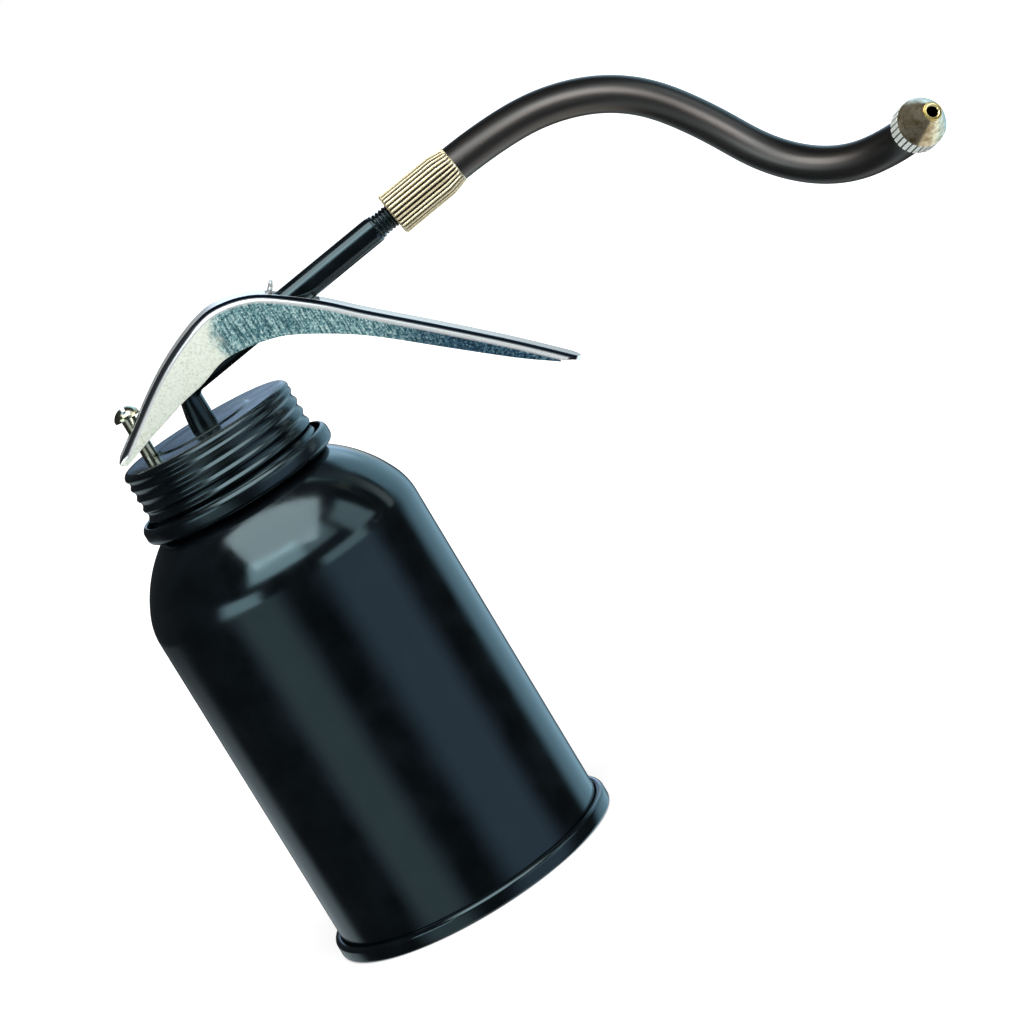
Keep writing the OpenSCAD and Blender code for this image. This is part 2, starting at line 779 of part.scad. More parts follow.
// The nozzle: a knurled collar over the hose's end and a long cone
module nozzle() {
    cone_d = collar_d - 2 * flute_depth - 0.3;
    color(nickel) on_hose_end() difference() {
        union() {
            translate([0, 0, -collar_grip])
                knurled(collar_d, collar_len, collar_flutes) cylinder(d = collar_d, h = collar_len);
            translate([0, 0, collar_front - past]) cylinder(d = cone_d, h = past);
            translate([0, 0, collar_front]) cylinder(d1 = cone_d, d2 = tip_d, h = cone_len);
        }
        translate([0, 0, -collar_grip - past]) cylinder(d = hose_d, h = collar_grip + past);
        translate([0, 0, -past]) cylinder(d = hose_bore, h = past + nozzle_socket);
        cylinder(d = tip_d - 1, h = cone_end + past);
    }
}

// The nipple inside the hose's end, pressed into the nozzle
module nozzle_nipple() {
    color(brass) on_hose_end() translate([0, 0, -collar_grip])
        tube(hose_bore, nipple_bore, collar_grip + nozzle_socket);
}

// The bare brass orifice in the nozzle's point
module nozzle_tip() {
    color(brass) on_hose_end() translate([0, 0, cone_end - tip_seat]) difference() {
        union() {
            cylinder(d = tip_d - 1, h = tip_seat);
            translate([0, 0, tip_seat]) cylinder(d = tip_d, h = tip_rim);
        }
        translate([0, 0, -past]) cylinder(d = tip_bore, h = tip_seat + tip_rim + 2 * past);
    }
}

can_body();
base_cup();
cap_gasket();
screw_cap();
pump_head_block();
gland_packing();
gland_nut();
pump_barrel();
foot_valve_body();
foot_valve_ball();
foot_valve_cage();
suction_tube();
strainer();
spout_tube();
pump_rod();
piston();
piston_cup();
piston_ball();
return_spring();
lever();
coupling_nut();
coupling_washer();
hose_nipple();
flex_hose();
nozzle();
nozzle_nipple();
nozzle_tip();
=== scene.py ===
"""Flex spout oil can: the finished surfaces, their materials, the light and the camera.

Shapes are worked out in millimetres as whole arrays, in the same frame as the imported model: z is the
can's axis, the spout points to +x and the front is -y.
"""
import math

import bmesh
import bpy
import numpy as np
from mathutils import Matrix, Vector


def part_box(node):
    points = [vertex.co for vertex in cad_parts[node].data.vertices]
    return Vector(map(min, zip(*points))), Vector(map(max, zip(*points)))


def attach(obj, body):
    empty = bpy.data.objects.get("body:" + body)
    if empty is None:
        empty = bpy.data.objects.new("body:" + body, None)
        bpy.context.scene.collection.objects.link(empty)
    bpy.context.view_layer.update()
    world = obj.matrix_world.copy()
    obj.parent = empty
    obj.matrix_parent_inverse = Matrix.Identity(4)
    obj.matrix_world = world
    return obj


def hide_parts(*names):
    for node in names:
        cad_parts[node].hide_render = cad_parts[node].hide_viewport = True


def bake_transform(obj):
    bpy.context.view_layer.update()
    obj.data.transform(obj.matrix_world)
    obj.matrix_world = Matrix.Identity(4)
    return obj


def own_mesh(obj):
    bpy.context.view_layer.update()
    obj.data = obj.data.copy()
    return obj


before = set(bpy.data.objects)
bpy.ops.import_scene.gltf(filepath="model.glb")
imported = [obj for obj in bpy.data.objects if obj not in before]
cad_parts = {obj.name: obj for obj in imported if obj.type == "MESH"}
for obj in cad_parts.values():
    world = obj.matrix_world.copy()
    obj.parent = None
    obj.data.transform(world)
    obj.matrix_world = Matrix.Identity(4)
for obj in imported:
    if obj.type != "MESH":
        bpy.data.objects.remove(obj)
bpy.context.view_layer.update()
MM = 0.001


# Colours and shader nodes.

def tint(code):
    """An sRGB hex colour as linear light: ((c + 0.055) / 1.055) ^ 2.4 for a channel c, near black c / 12.92."""
    channels = np.array([int(code[i:i + 2], 16) for i in (1, 3, 5)]) / 255
    linear = np.where(channels > 0.04045, ((channels + 0.055) / 1.055) ** 2.4, channels / 12.92)
    return (*linear.tolist(), 1.0)


def add(tree, kind, inputs=None, stops=None, **settings):
    """Adds one shader node.

    Settings are its own fields, and stops a ramp's places and colours. An input is a value, or it is linked to
    the first output of a node or to the output that a (node, output) pair names.
    """
    made = tree.nodes.new("ShaderNode" + kind)
    for field, value in settings.items():
        setattr(made, field, value)
    if stops:
        while len(made.color_ramp.elements) < len(stops):
            made.color_ramp.elements.new(0.5)
        for element, (place, colour) in zip(made.color_ramp.elements, stops):
            element.position = place
            element.color = tint(colour)
    for name, value in (inputs or {}).items():
        socket = made.inputs[name]
        source, output = value if isinstance(value, tuple) and len(value) == 2 else (value, 0)
        if isinstance(source, bpy.types.Node):
            tree.links.new(source.outputs[output], socket)
        else:
            socket.default_value = value
    return made


def empty_tree(owner):
    """The node tree of a new material or world, with nothing in it yet."""
    owner.use_nodes = True
    owner.node_tree.nodes.clear()
    return owner.node_tree


def start_material(name):
    """A material without nodes, its tree, and the coordinates that its patterns read."""
    material = bpy.data.materials.new(name)
    tree = empty_tree(material)
    return material, tree, add(tree, "TexCoord")


def finish_material(tree, skin):
    """Gives the material its one shader, whose sockets are values or links."""
    add(tree, "OutputMaterial", {"Surface": add(tree, "BsdfPrincipled", skin)})


def per_mm(size_mm):
    """The scale of a pattern on Object coordinates, which are in metres, for features of a size in mm."""
    return 1 / (size_mm * MM)


def baked_enamel(name, dark="#050709", light="#0c1014", gloss=(0.10, 0.20), peel=0.10, peel_mm=1.1):
    """Black baked enamel sprayed on steel.

    It is a hard clear-looking skin: deep black with a faint blue cast, sharp reflections that swim a little
    on the orange peel of the spray, and slow waves of the sheet under it.
    """
    material, tree, place = start_material(name)
    cloud = add(tree, "TexNoise", {"Vector": (place, "Object"), "Scale": per_mm(9), "Detail": 5.0})
    colour = add(tree, "ValToRGB", {"Fac": cloud}, stops=[(0.35, dark), (0.70, light)])
    dull = add(tree, "MapRange", {"Value": cloud, "From Min": 0.3, "From Max": 0.7,
                                  "To Min": gloss[0], "To Max": gloss[1]})
    grain = add(tree, "TexNoise", {"Vector": (place, "Object"), "Scale": per_mm(peel_mm), "Detail": 3.0})
    wave = add(tree, "TexNoise", {"Vector": (place, "Object"), "Scale": per_mm(26), "Detail": 1.0})
    waved = add(tree, "Bump", {"Height": wave, "Strength": 0.10, "Distance": 0.5 * MM})
    peeled = add(tree, "Bump", {"Height": grain, "Strength": peel, "Distance": 0.05 * MM, "Normal": waved})
    finish_material(tree, {"Base Color": colour, "Roughness": dull, "Normal": peeled, "IOR": 1.6,
                           "Specular Tint": tint("#d4f7ff")})
    return material


def zinc_plate(name):
    """Zinc-plated folded steel.

    On the short arm the plating is pale and creamy; from the hump on it has a coarse blue-green speckle, with
    short press marks across the fold, and it darkens along the long arm, partly a real change in the plating
    and partly painted shade. Over the bends and the web a painted highlight lightens it to near white and makes
    it glossier. A dark blue line on the bend beside the web, and most of the bend on the short arm, is painted
    shade, whose reflections are tinted dark too.
    """
    material, tree, place = start_material(name)
    apart = add(tree, "SeparateXYZ", {"Vector": (place, "Object")})
    fold_highlight = add(tree, "Attribute", attribute_name="fold_highlight")
    cloud = add(tree, "TexNoise", {"Vector": (place, "Object"), "Scale": per_mm(5), "Detail": 2.0})
    ragged = add(tree, "MapRange", {"Value": cloud, "From Min": 0.3, "From Max": 0.7,
                                    "To Min": -1.6 * MM, "To Max": 1.6 * MM})
    reach = add(tree, "Math", {0: (apart, "X"), 1: ragged}, operation="ADD")
    # Painted shade, partly a real change in the plating: pale on the short arm, blue-green past the hump, dark
    # along the long arm.
    past_hump = add(tree, "MapRange", {"Value": reach, "From Min": 13.5 * MM, "From Max": 17.5 * MM},
                    interpolation_type="SMOOTHSTEP")
    arm_shade = add(tree, "MapRange", {"Value": reach, "From Min": 44 * MM, "From Max": 66 * MM},
                 interpolation_type="SMOOTHSTEP")
    flecks = add(tree, "TexNoise", {"Vector": (place, "Object"), "Scale": per_mm(0.5), "Detail": 3.0,
                                    "Roughness": 0.7})
    across = add(tree, "Mapping", {"Vector": (place, "UV"), "Scale": (0.14, 1.0, 1.0)})
    pressed = add(tree, "TexNoise", {"Vector": across, "Scale": 1 / 0.7, "Detail": 3.0})
    pale = add(tree, "ValToRGB", {"Fac": flecks},
               stops=[(0.34, "#d3dccb"), (0.44, "#eaf4e4"), (0.56, "#f6fff1"), (0.75, "#fdfffc")])
    cool = add(tree, "ValToRGB", {"Fac": flecks},
               stops=[(0.38, "#3d6f7b"), (0.47, "#7cb0b6"), (0.55, "#b2dbd8"), (0.66, "#f2fffb")])
    dark = add(tree, "ValToRGB", {"Fac": flecks},
               stops=[(0.38, "#0c2638"), (0.48, "#244b61"), (0.57, "#4a7589"), (0.70, "#9dbfc8")])
    marks = add(tree, "ValToRGB", {"Fac": pressed}, stops=[(0.42, "#7898a0"), (0.52, "#ffffff")])
    marked = add(tree, "MixRGB", {"Fac": 0.9, "Color1": cool, "Color2": marks}, blend_type="MULTIPLY")
    half_way = add(tree, "MixRGB", {"Fac": past_hump, "Color1": pale, "Color2": marked})
    flange = add(tree, "MixRGB", {"Fac": arm_shade, "Color1": half_way, "Color2": dark})
    # Painted highlight: the bends and the web are lightened to near white.
    bright = add(tree, "MixRGB", {"Fac": (fold_highlight, "Fac"), "Color1": flange, "Color2": tint("#fafefe")})
    # Painted shade: a dark blue line on the bend beside the web, whose reflections the specular tint darkens
    # too.
    seam_shade = add(tree, "Attribute", attribute_name="seam_shade")
    tone = add(tree, "MixRGB", {"Fac": (seam_shade, "Fac"), "Color1": bright, "Color2": tint("#0a141f")})
    edge = add(tree, "MixRGB", {"Fac": (seam_shade, "Fac"), "Color1": tint("#ffffff"), "Color2": tint("#141b22")})
    body = add(tree, "MapRange", {"Value": past_hump, "To Min": 0.05, "To Max": 0.42})
    metal = add(tree, "MapRange", {"Value": (fold_highlight, "Fac"), "To Min": body, "To Max": 0.48})
    dull = add(tree, "MapRange", {"Value": (fold_highlight, "Fac"), "To Min": 0.42, "To Max": 0.17})
    rough = add(tree, "MapRange", {"Value": (fold_highlight, "Fac"), "To Min": 0.22, "To Max": 0.03})
    bumps = add(tree, "Bump", {"Height": flecks, "Strength": rough, "Distance": 0.06 * MM})
    finish_material(tree, {"Base Color": tone, "Roughness": dull, "Metallic": metal, "Normal": bumps,
                           "Specular Tint": edge})
    return material


def turned_metal(name, shades, dull, pitch_mm, depth, tarnish, lands_and_groove_shade=("#ffffff", "#000000"),
                 metallic=(1.0, 1.0)):
    """Metal turned on a lathe.

    Fine tool rings run round the piece, from the map's length direction, each a little lighter or darker;
    a slow cloud of tarnish warms and dulls patches of it. Where the knurl attribute is set the lands have
    their own colour, and the groove attribute paints shade into the bottoms of the grooves and into bores.
    """
    material, tree, place = start_material(name)
    along = add(tree, "Mapping", {"Vector": (place, "UV"), "Scale": (0.02, 1.0, 1.0)})
    rings = add(tree, "TexNoise", {"Vector": along, "Scale": 1 / pitch_mm, "Detail": 4.0, "Roughness": 0.65})
    cloud = add(tree, "TexNoise", {"Vector": (place, "Object"), "Scale": per_mm(2.2), "Detail": 5.0,
                                   "Roughness": 0.7})
    colour = add(tree, "ValToRGB", {"Fac": rings},
                 stops=[(0.30, shades[0]), (0.52, shades[1]), (0.72, shades[2])])
    stained = add(tree, "ValToRGB", {"Fac": cloud}, stops=[(0.40, "#ffffff"), (0.66, tarnish)])
    tone = add(tree, "MixRGB", {"Fac": 1.0, "Color1": colour, "Color2": stained}, blend_type="MULTIPLY")
    knurl = add(tree, "Attribute", attribute_name="knurl")
    groove = add(tree, "Attribute", attribute_name="groove")
    banded = add(tree, "MixRGB", {"Fac": (knurl, "Fac"), "Color1": tone, "Color2": tint(lands_and_groove_shade[0])})
    # Painted shade: the groove mark darkens groove bottoms and bores with the second colour of the pair.
    groove_shaded = add(tree, "MixRGB", {"Fac": (groove, "Fac"), "Color1": banded, "Color2": tint(lands_and_groove_shade[1])})
    rough = add(tree, "MapRange", {"Value": cloud, "From Min": 0.3, "From Max": 0.75,
                                   "To Min": dull[0], "To Max": dull[1]})
    metal = add(tree, "MapRange", {"Value": (knurl, "Fac"), "To Min": metallic[0], "To Max": metallic[1]})
    cut = add(tree, "Bump", {"Height": rings, "Strength": depth, "Distance": 0.03 * MM})
    finish_material(tree, {"Base Color": groove_shaded, "Roughness": rough, "Metallic": metal, "Normal": cut})
    return material


def cast_or_drawn(name, shades, dull, size_mm, metallic=1.0, depth=0.1):
    """A plain inner piece, drawn, stamped or cut: a soft cloud of its own shades and a fine grain."""
    material, tree, place = start_material(name)
    cloud = add(tree, "TexNoise", {"Vector": (place, "Object"), "Scale": per_mm(size_mm), "Detail": 6.0,
                                   "Roughness": 0.6})
    colour = add(tree, "ValToRGB", {"Fac": cloud}, stops=[(0.32, shades[0]), (0.68, shades[1])])
    rough = add(tree, "MapRange", {"Value": cloud, "From Min": 0.3, "From Max": 0.7,
                                   "To Min": dull[0], "To Max": dull[1]})
    grain = add(tree, "TexNoise", {"Vector": (place, "Object"), "Scale": per_mm(size_mm / 8), "Detail": 3.0})
    bumps = add(tree, "Bump", {"Height": grain, "Strength": depth, "Distance": 0.05 * MM})
    finish_material(tree, {"Base Color": colour, "Roughness": rough, "Normal": bumps, "Metallic": metallic})
    return material


def moulded_rubber(name):
    """Black oil-resistant rubber, extruded and cured.

    It is matt black with a satin skin: one wide soft highlight, a fine pitting, and slow lengthwise
    differences in dullness from the die.
    """
    material, tree, place = start_material(name)
    along = add(tree, "Mapping", {"Vector": (place, "UV"), "Scale": (1.0, 0.06, 1.0)})
    die = add(tree, "TexNoise", {"Vector": along, "Scale": 0.6, "Detail": 3.0})
    pits = add(tree, "TexNoise", {"Vector": (place, "Object"), "Scale": per_mm(0.5), "Detail": 3.0})
    colour = add(tree, "ValToRGB", {"Fac": pits}, stops=[(0.35, "#060606"), (0.70, "#0d0d0d")])
    rough = add(tree, "MapRange", {"Value": die, "From Min": 0.3, "From Max": 0.7,
                                   "To Min": 0.33, "To Max": 0.41})
    bumps = add(tree, "Bump", {"Height": pits, "Strength": 0.12, "Distance": 0.04 * MM})
    finish_material(tree, {"Base Color": colour, "Roughness": rough, "Normal": bumps, "IOR": 1.52,
                           "Specular IOR Level": 0.9, "Specular Tint": tint("#fff5ee")})
    return material


ENAMEL = baked_enamel("baked_enamel")
CAP_ENAMEL = baked_enamel("baked_enamel_cap", gloss=(0.18, 0.30), peel=0.16, peel_mm=0.8)
TUBE_ENAMEL = baked_enamel("baked_enamel_tube", gloss=(0.12, 0.22), peel=0.2)
ZINC = zinc_plate("zinc_plate")
# The second of each pair of land and groove colours is painted shade for groove bottoms and bores.
KNURLED_BRASS = turned_metal("knurled_brass", ("#d3c193", "#efe6c8", "#fffbe8"), (0.22, 0.36), 0.30, 0.15,
                             "#d9bd84", ("#fff0c8", "#0d0803"), (1.0, 0.45))
TIP_BRASS = turned_metal("orifice_brass", ("#f0c870", "#ffeaa8", "#fffbe4"), (0.16, 0.28), 0.20, 0.15,
                         "#f6dc9c")
NICKEL = turned_metal("dull_nickel", ("#c2b699", "#d2c7ac", "#e0d7c2"), (0.20, 0.30), 0.6, 0.10, "#a89a78",
                      ("#fbfff8", "#28352c"), (0.85, 0.30))
ROD_STEEL = turned_metal("bright_rod", ("#9c9a8a", "#d2d0bd", "#f6f4e2"), (0.14, 0.26), 0.40, 0.2, "#cfcab0")
INNER_BRASS = cast_or_drawn("inner_brass", ("#a98446", "#cfae6c"), (0.26, 0.42), 3.0)
INNER_STEEL = cast_or_drawn("inner_steel", ("#8d8f91", "#bcbdbe"), (0.20, 0.34), 2.0)
RUBBER = moulded_rubber("satin_rubber")
CORK = cast_or_drawn("cork_and_rubber", ("#2a1d13", "#5a4028"), (0.75, 0.9), 0.9, metallic=0.0, depth=0.5)
PACKING = cast_or_drawn("oiled_packing", ("#3b2818", "#64482c"), (0.55, 0.7), 0.6, metallic=0.0, depth=0.4)


# Building surfaces.

def piece(name, grid, material, body, replaced=None, looped=True, poles=(None, None), crease=38,
          marks=None):
    """A closed surface over a grid of places in mm, rows by columns.

    Neighbouring rows and columns are joined by four-sided faces. The columns join round, the rows too if looped
    is set, and a pole closes an open end with a fan. The map on it is the distance in mm along the columns and
    along the rows. The faces point outwards: they are turned if the enclosed volume is negative. Marks are
    named values for each row and column that a material reads.
    """
    grid = np.asarray(grid, float)
    rows, cols = grid.shape[:2]
    at_row, at_col = np.meshgrid(np.arange(rows if looped else rows - 1), np.arange(cols), indexing="ij")
    next_row, next_col = (at_row + 1) % rows, (at_col + 1) % cols
    faces = np.stack([at_row * cols + at_col, at_row * cols + next_col,
                      next_row * cols + next_col, next_row * cols + at_col], -1).reshape(-1, 4)
    closed = np.concatenate([grid, grid[:1]], 0)
    closed = np.concatenate([closed, closed[:, :1]], 1)
    down = np.concatenate([[0], np.cumsum(np.linalg.norm(np.diff(closed, axis=0), axis=-1).mean(1))])
    across = np.concatenate([[0], np.cumsum(np.linalg.norm(np.diff(closed, axis=1), axis=-1).max(0))])
    maps = np.stack([
        np.stack([across[at_col], down[at_row]], -1), np.stack([across[at_col + 1], down[at_row]], -1),
        np.stack([across[at_col + 1], down[at_row + 1]], -1), np.stack([across[at_col], down[at_row + 1]], -1),
    ], 2).reshape(-1, 4, 2)
    places = grid.reshape(-1, 3)
    fans, fan_maps = [], []
    j = np.arange(cols)
    for pole, row, flip in ((poles[0], 0, True), (poles[1], rows - 1, False)):
        if pole is None:
            continue
        top = len(places)
        places = np.concatenate([places, [pole]])
        a, b = row * cols + j, row * cols + (j + 1) % cols
        fans.append(np.stack([b, a, np.full(cols, top)] if flip else [a, b, np.full(cols, top)], -1))
        reach = down[row] + (-1 if flip else 1) * np.linalg.norm(grid[row, 0] - pole)
        ends = [np.stack([across[j + 1], np.full(cols, down[row])], -1),
                np.stack([across[j], np.full(cols, down[row])], -1)]
        tip = np.stack([across[j], np.full(cols, reach)], -1)
        fan_maps.append(np.stack((ends if flip else ends[::-1]) + [tip], 1))
    volume = sum(np.einsum("ij,ij->", places[f[:, 0]], np.cross(places[f[:, 1]], places[f[:, 2]]))
                 for f in [faces[:, [0, 1, 2]], faces[:, [0, 2, 3]], *fans])
    turn = slice(None, None, -1 if volume < 0 else 1)
    mesh = bpy.data.meshes.new(name)
    mesh.from_pydata((places * MM).tolist(), [],
                     faces[:, turn].tolist() + [t for f in fans for t in f[:, turn].tolist()])
    layer = mesh.uv_layers.new(name="turned")
    layer.data.foreach_set("uv", np.concatenate([m[:, turn].reshape(-1) for m in [maps, *fan_maps]]))
    for mark, values in (marks or {}).items():
        spread = np.broadcast_to(values, (rows, cols)).reshape(-1)
        put = mesh.attributes.new(mark, "FLOAT", "POINT")
        put.data.foreach_set("value", np.concatenate([spread, np.zeros(len(places) - len(spread))]))
    mesh.shade_smooth()
    mesh.set_sharp_from_angle(angle=math.radians(crease))
    return finish_piece(name, mesh, material, body, replaced)


def finish_piece(name, mesh, material, body, replaced=None):
    """Puts a mesh into the scene with its material, its body and the CAD node that it stands for."""
    made = bpy.data.objects.new(name, mesh)
    bpy.context.scene.collection.objects.link(made)
    mesh.materials.append(material)
    if body:
        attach(made, body)
    if replaced:
        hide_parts(replaced)
    return made


def soften_edges(made, width, sharp):
    """Rounds the edges that turn by more than the angle, in degrees, with a bevel whose width is in mm."""
    soft = made.modifiers.new("edges", "BEVEL")
    soft.width = width * MM
    soft.segments = 2
    soft.limit_method = "ANGLE"
    soft.angle_limit = math.radians(sharp)


def arc(centre, radius, start, end, steps):
    """Places on an arc: centre + radius * (cos a, sin a) at evenly spaced angles a, given in degrees."""
    angle = np.radians(np.linspace(start, end, steps + 1))
    return np.stack([centre[0] + radius * np.cos(angle), centre[1] + radius * np.sin(angle)], -1)


def eased(corners, steps):
    """A closed outline with soft corners.

    Each corner P with ease e becomes the curve (1-t)^2 A + 2t(1-t) P + t^2 B, where A and B lie e away from P
    towards its neighbours.
    """
    corners = np.asarray(corners, float)
    spots, ease = corners[:, :2], corners[:, 2:3]
    before, after = np.roll(spots, 1, 0) - spots, np.roll(spots, -1, 0) - spots
    a = spots + ease * before / np.linalg.norm(before, axis=1, keepdims=True)
    b = spots + ease * after / np.linalg.norm(after, axis=1, keepdims=True)
    t = np.linspace(0, 1, steps + 1)[None, :, None]
    curves = (1 - t) ** 2 * a[:, None] + 2 * t * (1 - t) * spots[:, None] + t ** 2 * b[:, None]
    return curves.reshape(-1, 2)


# how many places the round edge at either end of a sheet's outline has
EDGE_STEPS = 4


def sheet(path, thickness):
    """The outline of a bent sheet: its middle path shifted by half the thickness both ways, with round edges.

    The last EDGE_STEPS places are the round edge at the path's start.
    """
    path = np.asarray(path, float)
    along = np.gradient(path, axis=0)
    along /= np.linalg.norm(along, axis=1, keepdims=True)
    side = np.stack([-along[:, 1], along[:, 0]], -1) * thickness / 2
    turn = np.radians(np.linspace(0, 180, EDGE_STEPS + 2)[1:-1])[:, None]
    last = path[-1] + side[-1] * np.cos(turn) + along[-1] * thickness / 2 * np.sin(turn)
    first = path[0] - side[0] * np.cos(turn) - along[0] * thickness / 2 * np.sin(turn)
    return np.concatenate([path + side, last, (path - side)[::-1], first])


def ring_angles(sides):
    """Evenly spaced angles round a ring, in radians."""
    return np.arange(sides) * 2 * np.pi / sides


def turned(outline, sides, wobble=None):
    """An outline of radius and height carried round the z axis; wobble adds to the radius at each place."""
    angle = ring_angles(sides)
    radius = outline[:, :1] + (0 if wobble is None else wobble(outline[:, :1], outline[:, 1:], angle[None]))
    height = np.repeat(outline[:, 1:2], sides, 1)
    return np.stack([radius * np.cos(angle), radius * np.sin(angle), height], -1)


def carried(centres, along, radius, squash=None, sides=48, start=(0.5, 0.6, 0.62)):
    """Rings round a path: centre + radius * (cos a * side + sin a * other), both square to the path."""
    centres, along = np.asarray(centres, float), np.asarray(along, float)
    side = np.cross(along, start)
    side /= np.linalg.norm(side, axis=1, keepdims=True)
    other = np.cross(along, side)
    angle = ring_angles(sides)[None, :, None]
    radius = np.broadcast_to(radius, (len(centres), sides))[..., None]
    rings = radius * (np.cos(angle) * side[:, None] + np.sin(angle) * other[:, None])
    if squash is not None:
        rings = squash(rings)
    return centres[:, None] + rings


def on_axis(grid, origin, along, side):
    """Moves a turned grid so that its z runs along an axis from an origin, and its x along a given side."""
    along, side = np.asarray(along, float), np.asarray(side, float)
    side = side - along * (side @ along)
    side /= np.linalg.norm(side)
    frame_rows = np.stack([side, np.cross(along, side), along])
    return np.asarray(origin) + grid @ frame_rows


def unit(degrees):
    """The step (cos a, sin a) of length 1 at an angle a."""
    return np.array([math.cos(math.radians(degrees)), math.sin(math.radians(degrees))])


def smooth_step(value, low, high):
    """0 below low, 1 above high, and 3t^2 - 2t^3 between them."""
    t = np.clip((value - low) / (high - low), 0, 1)
    return t * t * (3 - 2 * t)


# The can.

CAN_R, CAN_SHEET, WALL_H = 38.0, 0.6, 94.6
NECK_R, NECK_TOP = 22.4, 133.2
RIM_R, RIM_H, PANEL_H = 40.1, 4.3, 3.2
CAN_SIDES = 256


def can_profile():
    """The middle of the can's sheet: straight wall, tight arc, the shoulder's long arc, a fillet, the neck."""
    half = CAN_SHEET / 2
    tight, long, turn = 17.0, 36.0, 24.0
    start_x = CAN_R - tight
    sweep = np.array([start_x, WALL_H]) + (tight - long) * unit(turn)
    fillet, neck = 1.2, NECK_R - half
    end = math.degrees(math.acos((neck + fillet - sweep[0]) / (long - half + fillet)))
    corner = sweep + (long - half + fillet) * unit(end)
    wall = np.stack([np.full(30, CAN_R - half), np.linspace(CAN_SHEET + 0.4, WALL_H - 1, 30)], -1)
    return np.concatenate([
        wall,
        arc((start_x, WALL_H), tight - half, 0, turn, 14),
        arc(sweep, long - half, turn + 1.5, end, 40),
        arc(corner, fillet, 180 + end * 0.93, 180, 6),
        [[neck, corner[1] + 1], [neck, NECK_TOP]],
    ])


can_outline = sheet(can_profile(), CAN_SHEET)
piece("can_shell", turned(can_outline, CAN_SIDES), ENAMEL, "can", "can_body")


def base_profile():
    """The middle of the bottom sheet: flat panel, channel, under the wall and up into the rolled rim."""
    half, corner = CAN_SHEET / 2, 0.6
    inner, outer = CAN_R - CAN_SHEET - half - 0.05, RIM_R - half
    return np.concatenate([
        [[1.0, PANEL_H + half], [12, PANEL_H + half], [24, PANEL_H + half]],
        arc((inner - corner, PANEL_H + half - corner), corner, 90, 0, 6),
        arc((inner + corner, corner + half), corner, 180, 270, 6),
        arc((outer - corner, corner + half), corner, 270, 360, 6),
        arc((outer - 0.8, RIM_H - half - 0.8), 0.8, 0, 90, 8),
        [[CAN_R + 0.55, RIM_H - half]],
    ])


bottom = sheet(base_profile(), CAN_SHEET)[:-EDGE_STEPS]
piece("bottom_and_rim", turned(bottom, CAN_SIDES), ENAMEL, "can", "base_cup", looped=False,
      poles=((0, 0, PANEL_H + CAN_SHEET), (0, 0, PANEL_H)))


# The screw cap.

CAP_R, CAP_SHEET, CAP_TOP, CAP_PAD = 23.9, 0.8, 136.2, 0.4
HEM_R, HEM_BOTTOM = 26.9, 117.2
PITCH, RIDGE = 3.0, 0.575


def cap_profile():
    """The middle of the cap's sheet: raised pad, flat top, rounded shoulder, straight skirt, turned-up hem."""
    half, corner = CAP_SHEET / 2, 1.3
    middle, top = CAP_R - half, CAP_TOP - half
    turn = (HEM_R - half - middle) / 2
    hem = (middle + turn, HEM_BOTTOM + half + turn)
    skirt = np.linspace(top - corner - 0.3, hem[1] + 0.2, 90)
    return np.concatenate([
        [[1.0, top + CAP_PAD], [7, top + CAP_PAD]],
        arc((12.3, top + CAP_PAD - 0.6), 0.6, 90, 50, 4),
        arc((13.4, top + 0.5), 0.5, 230, 270, 4),
        [[16, top], [20, top]],
        arc((middle - corner, top - corner), corner, 90, 0, 10),
        np.stack([np.full(90, middle), skirt], -1),
        arc(hem, turn, 180, 360, 14),
        arc((hem[0], hem[1] + 1.2), turn, 0, 60, 6),
    ])


def thread_wave(radius, height, angle):
    """Rolled screw ridges that fade at both ends.

    The radius dips by the ridge's depth times 1 - w^1.5, where w = (1 + cos p) / 2 and p is the height over the
    pitch less the angle.
    """
    on_skirt = smooth_step(radius, 22.0, 22.6) * (1 - smooth_step(radius, 24.2, 24.6))
    reach = smooth_step(height, 119.8, 122.2) * (1 - smooth_step(height, 133.6, 134.9))
    phase = 2 * np.pi * (height - 124.4) / PITCH - angle
    return -RIDGE * (1 - (0.5 + 0.5 * np.cos(phase)) ** 1.5) * reach * on_skirt


cap_outline = sheet(cap_profile(), CAP_SHEET)[:-EDGE_STEPS]
piece("screw_cap_shell", turned(cap_outline, CAN_SIDES, thread_wave), CAP_ENAMEL, "pump_head",
      "screw_cap", looped=False, poles=((0, 0, CAP_TOP + CAP_PAD), (0, 0, CAP_TOP + CAP_PAD - CAP_SHEET)))


# The rigid spout tube.

TUBE_D, TUBE_BORE, RISER_X = 7.1, 4.6, 0.5
BEND_Z, BEND_R, SLOPE = 143.6, 4.6, 8.7
FULL_LEN, CONE_STEP, THREAD_D, THREAD_LEN, TUBE_PITCH = 59.0, 1.6, 6.2, 13.2, 1.0
TURN = math.radians(90 - SLOPE)
BEND_END = np.array([RISER_X + BEND_R * (1 - math.cos(TURN)), 0, BEND_Z + BEND_R * math.sin(TURN)])
ALONG = np.array([math.cos(math.radians(SLOPE)), 0, math.sin(math.radians(SLOPE))])
DOWN = np.array([math.sin(math.radians(SLOPE)), 0, -math.cos(math.radians(SLOPE))])
FRONT = np.array([0, -1.0, 0])


